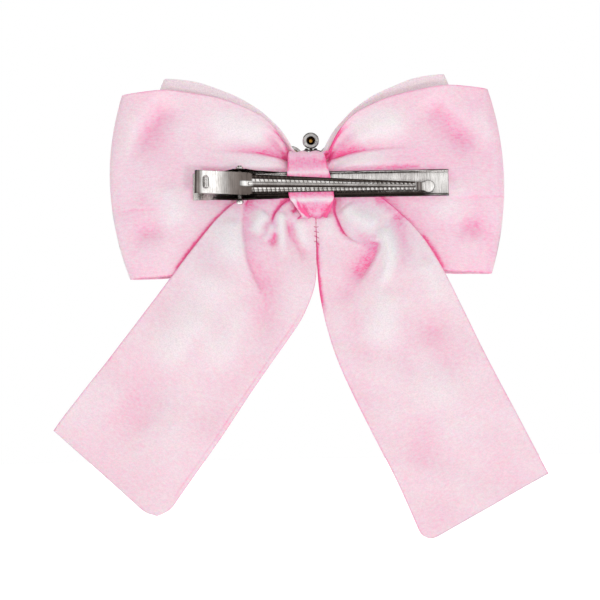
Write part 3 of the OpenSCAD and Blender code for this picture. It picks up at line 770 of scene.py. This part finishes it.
RIBBON_T = 0.75
WAIST = 8.6
GATHERED = 2.2
INSET = 0.4
BACK_FULL = 42.0
BACK_DEPTH = BACK_HIGH[1] - BACK_LOW[1] - 2 * INSET
FRONT_DEPTH = FRONT_HIGH[1] - FRONT_LOW[1] - 6.0  # flatter than its CAD solid
back_shape = {
    "columns": 120, "rows": 104, "height": 54.0, "thick": RIBBON_T,
    "reach": BACK_HIGH[0] - RIBBON_T / 2, "full": BACK_FULL, "depth": BACK_DEPTH, "gathered": GATHERED,
    "back_y": BACK_LOW[1] + INSET, "bed": lambda x: 0 * x, "fold_bow": 4.3, "lean": 0.9, "tuck": 1.9,
    "top": [(0, WAIST), (5.2, 9.4), (6.6, 11.6), (8.6, 15.4), (11, 18.6), (14.4, 21.6), (19.9, 24.4),
            (26, 26.7), (34.5, 28.5), (45, 29.8), (59.3, 28.9)],
    "bottom": [(0, -WAIST), (6, -9), (8.2, -12), (15, -17.8), (26, -23.4), (40, -25.8), (59.3, -26.6)],
}
front_shape = {
    "columns": 104, "rows": 84, "height": 51.0, "thick": RIBBON_T,
    "reach": FRONT_HIGH[0] - RIBBON_T / 2, "full": 34.0, "depth": FRONT_DEPTH, "gathered": GATHERED,
    "back_y": FRONT_LOW[1] + INSET, "bed": lambda x: bed(x, BACK_DEPTH - GATHERED, BACK_FULL),
    "fold_bow": 6.3, "lean": 1.0, "tuck": 0.0,
    "top": [(0, WAIST), (4.2, 11.2), (6.0, 14.2), (8.2, 17.6), (11.5, 21.0), (15, 24.1), (21.2, 28.0),
            (28.4, 31.0), (37, 33.7), (49, 35.3)],
    "bottom": [(0, -WAIST), (6, -9), (8.6, -11), (18, -16), (30, -18.4), (49, -19.2)],
}
back_bow = bow_band("back_bow", back_shape, back_relief)
finish_piece(back_bow, BOW_SATIN, "pink_satin", "bow", "back_bow_band")
front_bow = bow_band("front_bow", front_shape, front_relief)
finish_piece(front_bow, FRONT_SATIN, "pink_satin", "bow", "front_bow_band")


# ---------------------------------------------------------------- tails

TAIL_T = 0.9
TAIL_WIDTH = 38.0
TAIL_Y = TAIL_LOW[1] + 0.75


def disc_corner(points, corner, along, across, radius):
    """Rounds one corner of a sheet: the square next to it is drawn into a quarter disc."""
    origin = corner - radius * (along + across)
    basis = np.linalg.inv(np.stack([along, across], axis=1) * radius)
    local = (points - origin) @ basis.T
    inside = (local[..., 0] > 0) & (local[..., 1] > 0)
    p, q = np.clip(local[..., 0], 0, 1), np.clip(local[..., 1], 0, 1)
    round_p = p * np.sqrt(1 - q * q / 2)
    round_q = q * np.sqrt(1 - p * p / 2)
    moved = origin + radius * (round_p[..., None] * along + round_q[..., None] * across)
    return np.where(inside[..., None], moved, points)


def in_front_of(piece, x, y, z, gap):
    """y, eased towards the clip side so that it stays gap mm clear of a piece that lies behind it."""
    mesh = piece.data
    tree = BVHTree.FromPolygons([v.co[:] for v in mesh.vertices], [f.vertices[:] for f in mesh.polygons])
    limit = np.full(y.shape, 1e3)
    for i, (a, c) in enumerate(zip(x.flat, z.flat)):
        hit = tree.ray_cast(Vector((a * MM, -0.05, c * MM)), Vector((0, 1, 0)), 0.1)[0]
        if hit is not None:
            limit.flat[i] = hit[1] / MM - gap
    room = np.clip(limit - y, -6, 6)
    push = room - np.log1p(np.exp(room * 2.5)) / 2.5
    # past the edge of what lies behind, the cloth comes back gradually
    eased = push.copy()
    for _ in range(90):
        near = np.pad(eased, 1, mode="edge")
        around = (near[2:, 1:-1] + near[:-2, 1:-1] + near[1:-1, 2:] + near[1:-1, :-2]) / 4
        eased = np.minimum(push, around)
    return y + eased


def tail(name, outer, inner, corner_r, relief):
    """A ribbon that fans out of the knot between its outer and its inner edge; also gives its length."""
    stations = 210
    rows = edge_rows(TAIL_WIDTH, TAIL_T, 90)
    edge_a = smooth_curve(outer, stations)
    edge_b = smooth_curve(inner, stations)
    t = rows[None, :, None]
    flat = edge_a[:, None] * (1 - t) + edge_b[:, None] * t
    end = edge_b[-1] - edge_a[-1]
    run = edge_b[-1] - edge_b[-6]
    along, square = run / np.linalg.norm(run), end / np.linalg.norm(end)
    flat = disc_corner(flat, edge_b[-1].copy(), along, square, corner_r)
    share = np.linspace(0, 1, stations)[:, None] + 0 * rows[None, :]
    across = rows[None, :] + 0 * share
    stand, tone = relief(flat, share, across)
    y = in_front_of(back_bow, flat[..., 0], TAIL_Y + stand, flat[..., 1], TAIL_T / 2 + 0.1)
    middle = np.stack([flat[..., 0], y, flat[..., 1]], axis=-1)
    length = run_along((edge_a + edge_b) / 2)[-1]
    weave = np.stack([share * length, across * TAIL_WIDTH], axis=-1)
    return ribbon(name, middle, rows, TAIL_WIDTH, TAIL_T, False, weave, tone), length


def left_relief(flat, share, across):
    """Folds of the left tail; share runs down it and across from its outer to its inner edge."""
    long_pleat = [(-4.0, -2.6), (-6.6, -4.2), (-8.5, -5.8), (-10.0, -7.7), (-11.1, -10.0), (-11.6, -12.0)]
    short_pleat = [(-2.8, -5.8), (-4.0, -7.0), (-5.4, -8.8)]
    stand, tone = folds(flat, [
        # two sharp pleats out of the knot, each with a line of painted shade
        (long_pleat, 1.1, 0.4, 1.6, (0.0, 0.3), 0.0),
        (long_pleat, 0.0, 0.5, 0.9, (0.0, 0.35), 1.6),
        (short_pleat, 0.9, 0.4, 1.4, (0.0, 0.4), 0.0),
        (short_pleat, 0.0, 0.5, 0.7, (0.0, 0.4), 1.4),
        # swells between them, with painted highlights
        ([(-8.4, -7.6), (-8.6, -12), (-8.4, -17), (-7.2, -22)], -1.1, 1.2, 1.2, (0.1, 0.5), -0.9),
        ([(-2.6, -9.5), (-2.8, -13), (-1.8, -17), (-1.2, -20)], -0.7, 1.8, 1.8, (0.2, 0.4), -0.7),
        ([(-12.8, -7.6), (-15.2, -10.6), (-16.6, -14.6)], -1.1, 2.0, 2.0, (0.2, 0.3), -0.9),
        ([(-10.8, -11), (-12.4, -14.4), (-14.6, -16.6)], -0.4, 0.9, 0.9, (0.2, 0.3), -0.6),
        ([(-23, -9), (-23.5, -16), (-24.5, -24)], -0.9, 3.4, 4.0, (0.2, 0.5), -0.45),
        # a dimple with painted shade, under a bright spot of painted highlight
        ([(-10.2, -13.0), (-10.8, -15.6), (-12.4, -17.8)], 0.8, 1.7, 1.7, (0.3, 0.35), 0.6),
        ([(-12.6, -10.6), (-13.6, -11.6)], 0.2, 1.0, 1.0, (0, 0), 0.35),
        ([(-12.2, -9.4), (-12.4, -14.4), (-14.4, -18.4)], 0.0, 2.6, 2.6, (0.2, 0.3), 0.35),
        # a soft curved hollow towards the inner edge, with painted shade in it
        ([(-6.9, -9.4), (-6.6, -11.5), (-5.6, -14.7), (-3.6, -18), (-1.2, -23)],
         0.7, 1.9, 0.8, (0.2, 0.35), 0.42),
        # the long soft fold down the middle of the tail, with painted shade along it
        ([(-19.2, -5), (-19.8, -11), (-19.5, -16.5), (-18.2, -23), (-15.6, -29), (-12, -36)],
         1.5, 3.6, 0.7, (0.0, 0.5), 0.5),
        ([(-15, -22), (-13.4, -29), (-13, -37), (-17, -46)], 0.8, 4.0, 4.0, (0.3, 0.4), 0.35),
        # broad swells lower down with painted highlights, and dips with painted shade
        ([(-27, -23), (-32, -34), (-40, -46), (-47, -55)], -0.9, 6.5, 6.5, (0.2, 0.3), -0.5),
        ([(-19, -32), (-24, -44), (-31, -58)], -0.7, 4.0, 4.0, (0.3, 0.4), -0.5),
        ([(-48, -72), (-53, -66), (-60, -62)], 0.5, 7.0, 7.0, (0.3, 0.4), 0.25),
        ([(-31, -40), (-38, -52), (-42, -62)], 0.4, 2.6, 2.6, (0.3, 0.4), 0.3),
    ])
    body = ease(share / 0.25)
    soft = swell(flat, 51, 30)
    # the tube's under layer shows past the upper one along the inner edge, with a line of painted shade in
    # the groove
    lip = (1 - across) * TAIL_WIDTH
    shown = ease((share - 0.3) / 0.05) * ease((0.93 - share) / 0.04)
    groove = np.exp(-((lip - 1.3) / 0.24) ** 2) * shown
    stand = stand + 0.18 * groove + 0.3 * ease(1 - lip / 1.2) * ease((share - 0.3) / 0.1)
    # the tone follows the soft swells as painted shade
    return stand + 0.7 * body * soft, tone + 0.14 * body * soft + 0.45 * groove


def right_relief(flat, share, across):
    """Folds of the right tail, called as left_relief is."""
    stand, tone = folds(flat, [
        # a sharp pleat that flares into a hollow, with painted shade along the pleat and in the hollow
        ([(7.2, -4.6), (7.2, -7.6), (8.6, -11.6), (10.2, -14.6), (13, -16.6), (16, -17.3)],
         1.1, 2.0, 0.5, (0.0, 0.3), 0.0),
        ([(7.2, -4.6), (7.2, -7.6), (8.6, -11.6), (10.2, -14.6), (11.6, -16)],
         0.0, 0.5, 0.9, (0.0, 0.3), 1.6),
        ([(20.2, -16.4), (19.4, -20.0), (16.6, -25), (12.0, -31)], 1.2, 0.9, 5.6, (0.06, 0.6), 1.1),
        ([(15.5, -23), (11.5, -30), (7, -38)], 0.7, 3.4, 4.0, (0.2, 0.5), 0.4),
        # lilac shading above the hollow
        ([(12.6, -14.6), (16, -15.6), (20, -15.8)], 0.3, 1.2, 1.0, (0.3, 0.1), 0.6),
        # painted shade in a band inside the outer edge
        ([(20.4, -4.2), (23.6, -6.8), (26.4, -9.6), (27.6, -13.5)], 0.4, 1.4, 1.6, (0.0, 0.4), 0.55),
        # the ridge round the hollow, with a painted highlight
        ([(10.6, -6.2), (13.0, -9.2), (17.2, -10.8), (20.4, -12.5)], -1.0, 2.4, 2.0, (0.1, 0.2), -0.6),
        ([(21.2, -12.5), (22.8, -16.5), (23.2, -21), (22.2, -26.5), (18.8, -32)],
         -1.2, 1.7, 1.4, (0.15, 0.4), -1.1),
        # a hollow with painted lilac shade and a swell to its right with a painted highlight; another
        # painted highlight near the inner edge
        ([(25.4, -8), (26.8, -14), (27.6, -20), (26.5, -27)], 0.9, 2.6, 2.6, (0.1, 0.5), 0.5),
        ([(33, -22), (36, -30), (38, -38)], -0.8, 3.5, 3.5, (0.2, 0.4), -0.3),
        ([(4.6, -9), (5.2, -12), (5, -16)], -0.5, 1.8, 1.8, (0.2, 0.4), -0.25),
        # the inner edge turns away into the gap, with painted shade along it
        ([(2.2, -15), (2.2, -24), (2.9, -32), (4.6, -40)], 0.2, 0.6, 0.6, (0.15, 0.3), 1.3),
        # waves lower down, with painted shade in the dips and painted highlights on the swells
        ([(24, -30), (21, -40), (19, -50)], -0.9, 5, 5, (0.3, 0.4), -0.55),
        ([(34, -38), (38, -50), (42, -60)], 0.5, 5, 5, (0.3, 0.4), 0.3),
        ([(12, -34), (14, -46), (18, -56)], 0.3, 3, 3, (0.3, 0.4), 0.2),
        ([(31, -44), (36, -58), (40, -70)], -0.6, 5, 5, (0.3, 0.4), -0.35),
        ([(28, -66), (32, -78), (36, -88)], 0.6, 6, 6, (0.3, 0.4), 0.25),
    ])
    body = ease(share / 0.25)
    soft = swell(flat, 61, 32)
    # the tone follows the soft swells as painted shade
    return stand + 0.7 * body * soft, tone + 0.14 * body * soft


left_tail, left_length = tail(
    "left_tail_ribbon",
    [(-4.5, 4.0), (-13, 1.2), (-22.8, -5.0), (-29.6, -11.6), (-40.6, -25.3), (-56.3, -45.5),
     (-72.2, -65.3), (-76.7, -71.2)],
    [(-1.0, -4.5), (1.3, -8.5), (1.78, -13), (1.7, -24), (0.9, -30.4), (-1.3, -36.2), (-4.2, -41.5),
     (-11.0, -50.9), (-18.4, -61.2), (-27.3, -74.2), (-36.6, -87.0), (-45.8, -99.8)],
    7.5, left_relief)
finish_piece(left_tail, TAIL_SATIN, "pink_satin", "bow", "left_tail")
right_tail, right_length = tail(
    "right_tail_ribbon",
    [(5.0, 4.0), (14, 1.6), (24.5, -6.3), (32.3, -14.5), (39.0, -25.4), (45.6, -39.1), (52.0, -52.8),
     (61.6, -71.9), (67.7, -84.2), (68.8, -86.4)],
    [(2.2, -4.5), (1.9, -8.5), (1.82, -13), (1.86, -24), (2.6, -33.0), (4.5, -42.5), (7.4, -52.0),
     (12.4, -63.6), (19.0, -77.3), (24.6, -88.9), (32.0, -106.4)],
    4.5, right_relief)
finish_piece(right_tail, TAIL_SATIN, "pink_satin", "bow", "right_tail")


# ---------------------------------------------------------------- knot

KNOT_WIDTH = 12.6
KNOT_T = 0.7
KNOT_FRONT_HALF = 5.9


def rounded(value, power):
    """A sine or cosine bent towards a square's, or away from it, by a power."""
    return np.sign(value) * np.abs(value) ** power


def knot_wrap():
    """The band round the waist: flat over the clip, narrower and tucked in below it."""
    around, rows = 150, edge_rows(KNOT_WIDTH, KNOT_T, 40)
    turn = np.linspace(0, 2 * math.pi, around, endpoint=False)
    y_mid, z_mid = (KNOT_LOW[1] + KNOT_HIGH[1]) / 2, (KNOT_LOW[2] + KNOT_HIGH[2]) / 2
    y_half = (KNOT_HIGH[1] - KNOT_LOW[1]) / 2 - KNOT_T / 2
    z_half = (KNOT_HIGH[2] - KNOT_LOW[2]) / 2 - KNOT_T / 2
    c, s = np.cos(turn), np.sin(turn)
    y = y_mid - y_half * rounded(c, 0.42)
    z = z_mid - z_half * rounded(s, 0.42)
    on_back = ease((y_mid - 2 - y) / 2.5)
    left_back = through(z, [(-10.2, -1.8), (-9, -2.5), (-7.5, -3.6), (-5.5, -4.9), (-3.6, -6.1),
                            (0, -6.4), (2.5, -6.6), (6, -6.4), (9.2, -6.2), (10.4, -5.8)])
    right_back = through(z, [(-10.2, 4.2), (-9, 5.2), (-7.5, 6.2), (-5.5, 6.8), (-3.6, 7.2),
                             (0, 6.7), (2.5, 6.2), (6, 5.3), (9.2, 4.7), (10.4, 4.1)])
    left = left_back * on_back - KNOT_FRONT_HALF * (1 - on_back)
    right = right_back * on_back + KNOT_FRONT_HALF * (1 - on_back)
    x = left[:, None] + (right - left)[:, None] * rows[None, :]
    flat = np.stack([x, z[:, None] + 0 * x], axis=-1)
    back = on_back[:, None]
    # three soft ribs all the way round, and two creases and a dent on the clip side
    out = 0.25 * np.sin(2 * math.pi * (rows[None, :] * 3 + 0.2)) * (1 - 0.6 * back)
    out = out - back * crease(flat, [(-2.4, -4.6), (-1.4, -7.4), (0.2, -9.6)], 0.5, 0.9, 0.35, (0.3, 0))
    out = out - back * crease(flat, [(6.2, -4.8), (5.2, -7.6), (3.8, -9.6)], 0.5, 0.35, 0.9, (0.3, 0))
    out = out + back * crease(flat, [(-6, 3.6), (0, 4.6), (5, 4.2)], 0.3, 1.6, 1.6)
    normal_y, normal_z = -rounded(c, 1.2), -rounded(s, 1.2)
    size = np.maximum(np.hypot(normal_y, normal_z), 1e-6)
    yy = y[:, None] + out * (normal_y / size)[:, None]
    zz = z[:, None] + out * (normal_z / size)[:, None]
    middle = np.stack([x, yy, zz], axis=-1)
    run = run_along(np.stack([y, z], axis=1))
    weave = np.stack(np.broadcast_arrays(run[:, None], (rows * KNOT_WIDTH)[None, :]), axis=-1)
    # painted shade on the clip side: deeper towards the bottom, paler towards the top
    tone = 0.2 * np.sin(turn - 0.2)[:, None] * back + 0.1 + 0 * x
    # the lower flap: a painted shade outline with a painted highlight line beside it on each side
    outlines = [
        [(-3.9, -4.4), (-2.8, -7.2), (-0.8, -9.0), (2.0, -9.8)],
        [(7.2, -4.6), (6.2, -7.4), (4.8, -9.0), (2.4, -9.8)],
    ]
    for line, outer in zip(outlines, (1, -1)):
        tone = tone + back * crease(flat, line, 1.4, 0.25, 0.25)
        beside = [(a - 0.9 * outer, c - 0.3) for a, c in line]
        tone = tone + back * crease(flat, beside, -0.8, 0.5, 0.5)
    # painted bands across the clip side: shade at the top, highlights just above and below the clip, and
    # shade low down
    for band_z, reach, deeper in ((6.7, 1.9, 0.5), (3.7, 0.5, -0.8), (-4.5, 0.6, -1.1), (-7.2, 1.4, 0.5)):
        tone = tone + deeper * np.exp(-((z - band_z) / reach) ** 2)[:, None] * back
    return ribbon("knot_wrap", middle, rows, KNOT_WIDTH, KNOT_T, True, weave, tone)


knot = knot_wrap()
finish_piece(knot, KNOT_SATIN, "pink_satin", "bow", "knot_band")


# ---------------------------------------------------------------- stitches and spring

def tube(name, paths, radius, sides=8):
    """Thin round tubes along lists of points in millimetres, as one mesh."""
    points, faces = [], []
    for path in paths:
        p = smooth_curve(path, 6 * len(path))
        forward = np.gradient(p, axis=0)
        forward /= np.linalg.norm(forward, axis=1, keepdims=True)
        helper = np.cross(forward, [0.3, 0.2, 0.93])
        helper /= np.linalg.norm(helper, axis=1, keepdims=True)
        other = np.cross(forward, helper)
        taper = np.ones(len(p))
        taper[[0, -1]] = 0.35
        faces += swept_faces(len(p), sides, len(points))
        for centre, a, b, k in zip(p, helper, other, taper):
            for i in range(sides):
                turn = 2 * math.pi * i / sides
                points.append(centre + radius * k * (a * math.cos(turn) + b * math.sin(turn)))
    return new_piece(name, points, faces, True)


stitch_y = TAIL_Y - TAIL_T / 2 - 0.05
stitches = tube("tail_stitches", [
    [(1.1, stitch_y, z), (1.8, stitch_y - 0.12, z - 0.25), (2.6, stitch_y, z - 0.4 * k)]
    for k, z in enumerate((-12.2, -13.6, -15.0, -16.6))
], 0.085)
finish_piece(stitches, THREAD, "thread", "bow")


def spring_strip():
    """The flat spring: hooked into the lever, bent round the pin, resting on the base jaw."""
    pin = (PIN_LOW + PIN_HIGH)[:2] / 2
    z_mid = (SPRING_LOW[2] + SPRING_HIGH[2]) / 2
    width, thick, rim = 3.3, 0.3, 0.09
    bend_r = 1.25
    bend = [pin + bend_r * np.array([math.sin(a), math.cos(a)]) for a in np.linspace(0, math.pi, 9)]
    path = [(-33.0, -0.28), (-28.6, -0.36), (-24.8, -0.5), *bend, (-24.6, -5.15), (-30.3, -7.42),
            (-30.9, -7.9), (-30.98, -8.35), (-30.72, -8.68), (-30.1, -8.6), (-29.8, -8.5)]
    stations, hook_start, hook_run = 150, 128, 10
    p = smooth_curve(path, stations)
    forward = np.gradient(p, axis=0)
    forward /= np.linalg.norm(forward, axis=1, keepdims=True)
    normal = np.stack([-forward[:, 1], forward[:, 0]], axis=1)
    # the hook is a little narrower than the strip
    half_w = width / 2 * (1 - 0.06 * ease((np.arange(stations) - hook_start) / hook_run))
    section = [(-1, -1, 0, rim), (-1, -1, rim, 0), (1, -1, -rim, 0), (1, -1, 0, rim),
               (1, 1, 0, -rim), (1, 1, -rim, 0), (-1, 1, rim, 0), (-1, 1, 0, -rim)]
    points = []
    for q, n, w in zip(p, normal, half_w):
        for side, up, dz, dn in section:
            off = q + n * (up * thick / 2 + dn)
            points.append((off[0], off[1], z_mid + side * w + dz))
    piece = new_piece("spring_strip", points, swept_faces(stations, len(section)), False)
    piece.data.materials.append(SPRING_STEEL)
    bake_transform(piece)
    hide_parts("leaf_spring")


spring_strip()


# ---------------------------------------------------------------- finishes of the CAD nodes

SHARP_ANGLE = 38.0


def paint(node, material, bevel=0.0):
    """Gives a CAD node its finish and, where bevel is a width in millimetres, softer edges."""
    piece = NODES[node]
    if not piece.material_slots:
        piece.data.materials.append(material)
    for slot in piece.material_slots:
        slot.material = material
    if bevel:
        modifier = piece.modifiers.new("soft_edges", "BEVEL")
        modifier.width = bevel * MM
        modifier.segments = 2
        modifier.limit_method = "ANGLE"
        modifier.angle_limit = math.radians(SHARP_ANGLE)
        modifier.harden_normals = False


# the clip casts no bounced light on the cloth
for name in ("base_jaw", "top_jaw", "hinge_pin"):
    NODES[name].visible_diffuse = False
paint("base_jaw", BASE_STEEL, 0.09)
paint("top_jaw", LEVER_STEEL, 0.07)
paint("hinge_pin", PIN_STEEL, 0.05)
paint("gather_thread", THREAD)
paint("clip_glue", GLUE, 0.1)
paint("ornament_glue", GLUE, 0.3)
paint("filigree_frame", ANTIQUE_METAL)
paint("centre_cup", CUP_METAL, 0.04)
paint("centre_stone", CRYSTAL)
for name in sorted(NODES):
    if name.startswith(("round_cup", "leaf_cup")):
        paint(name, CUP_METAL, 0.04)
    if name.startswith(("round_stone", "leaf_stone")):
        paint(name, CRYSTAL)


# ---------------------------------------------------------------- studio

def area_light(name, place, target, size, energy, mirrored=True):
    """A round white lamp; polished metal and satin don't mirror it where mirrored is false."""
    light = bpy.data.lights.new(name, "AREA")
    light.shape = "DISK"
    light.size = size
    light.energy = energy
    lamp = bpy.data.objects.new(name, light)
    lamp.location = place
    lamp.rotation_euler = (Vector(target) - Vector(place)).to_track_quat("-Z", "Y").to_euler()
    lamp.visible_glossy = mirrored
    bpy.context.scene.collection.objects.link(lamp)


def studio_floor():
    """A pale floor that glows a little; it throws no shadow and sends no light up at matt surfaces."""
    half = 4000.0
    corners = [(-half, -half), (half, -half), (half, half), (-half, half)]
    floor = new_piece("studio_floor", [(x, y, FLOOR_Z) for x, y in corners], [(0, 1, 2, 3)], False)
    material, _, shader = new_material("pale_floor")
    shader.inputs["Base Color"].default_value = (0.92, 0.92, 0.92, 1)
    shader.inputs["Roughness"].default_value = 0.8
    shader.inputs["Emission Color"].default_value = (1, 1, 1, 1)
    shader.inputs["Emission Strength"].default_value = 0.72
    floor.data.materials.append(material)
    floor.visible_diffuse = False
    floor.visible_shadow = False


def studio_world():
    """White to the camera and pale grey to matt surfaces; polished metal mirrors light and dark bands."""
    gain = (1.7, 1.7, 1.7)  # a ramp can't hold more than 1, so the bands are brightened after it
    world = bpy.data.worlds.new("studio")
    bpy.context.scene.world = world
    world.use_nodes = True
    tree = world.node_tree
    background = tree.nodes["Background"]
    direction = add(tree, "ShaderNodeTexCoord").outputs["Generated"]
    across = ramp(tree, half_range(tree, component(tree, direction, "X")), greys([
        (0.0, 0.25), (0.18, 0.8), (0.28, 0.03), (0.385, 0.06), (0.42, 0.7), (0.48, 0.5), (0.53, 0.52),
        (0.55, 1.0), (0.585, 1.0), (0.62, 0.6), (0.66, 0.3), (0.71, 0.06), (0.745, 1.0), (0.82, 1.0),
        (0.92, 0.8)]))
    upright = ramp(tree, half_range(tree, component(tree, direction, "Z")), [
        (0.0, (0.5, 0.48, 0.47)), (0.2, (0.9, 0.88, 0.87)), (0.33, (0.05, 0.04, 0.04)),
        (0.43, (0.8, 0.8, 0.8)), (0.5, WHITE), (0.57, WHITE), (0.65, (0.1, 0.08, 0.07)),
        (0.8, (0.03, 0.02, 0.018)), (1.0, (0.35, 0.33, 0.32))])
    bands = times(tree, times(tree, across, upright), gain)
    path = add(tree, "ShaderNodeLightPath")
    soft = mix_colour(tree, path.outputs["Is Glossy Ray"], (0.80, 0.80, 0.80), bands)
    seen = mix_colour(tree, path.outputs["Is Camera Ray"], soft, WHITE)
    tree.links.new(seen, background.inputs["Color"])


def place_camera():
    """Looks along +Y at the clip side from slightly below, with a slight roll."""
    distance = 0.62
    view_width = 0.177
    below = math.radians(4.0)
    centre = Vector((-0.0034, 0.0, -0.0341))
    data = bpy.data.cameras.new("camera")
    data.sensor_width = 36.0
    data.lens = data.sensor_width * distance / view_width
    camera = bpy.data.objects.new("camera", data)
    camera.location = centre + distance * Vector((0, -math.cos(below), -math.sin(below)))
    roll = Matrix.Rotation(math.radians(-1.0), 3, "Z")
    camera.rotation_euler = (Matrix.Rotation(math.radians(90) + below, 3, "X") @ roll).to_euler()
    bpy.context.scene.collection.objects.link(camera)
    bpy.context.scene.camera = camera


studio_floor()
studio_world()
CLIP_CENTRE = (0.0, 0.0, 0.0)
BOW_CENTRE = (0.0, 0.0, -0.03)
area_light("key", (0.24, -0.85, -0.22), CLIP_CENTRE, 0.045, 1.5, mirrored=False)
area_light("front", (0.0, -1.3, -0.02), BOW_CENTRE, 0.6, 3.0, mirrored=False)
area_light("back", (-0.4, 0.9, 0.35), BOW_CENTRE, 0.4, 1.6)
place_camera()
bpy.context.scene.view_settings.view_transform = "Standard"
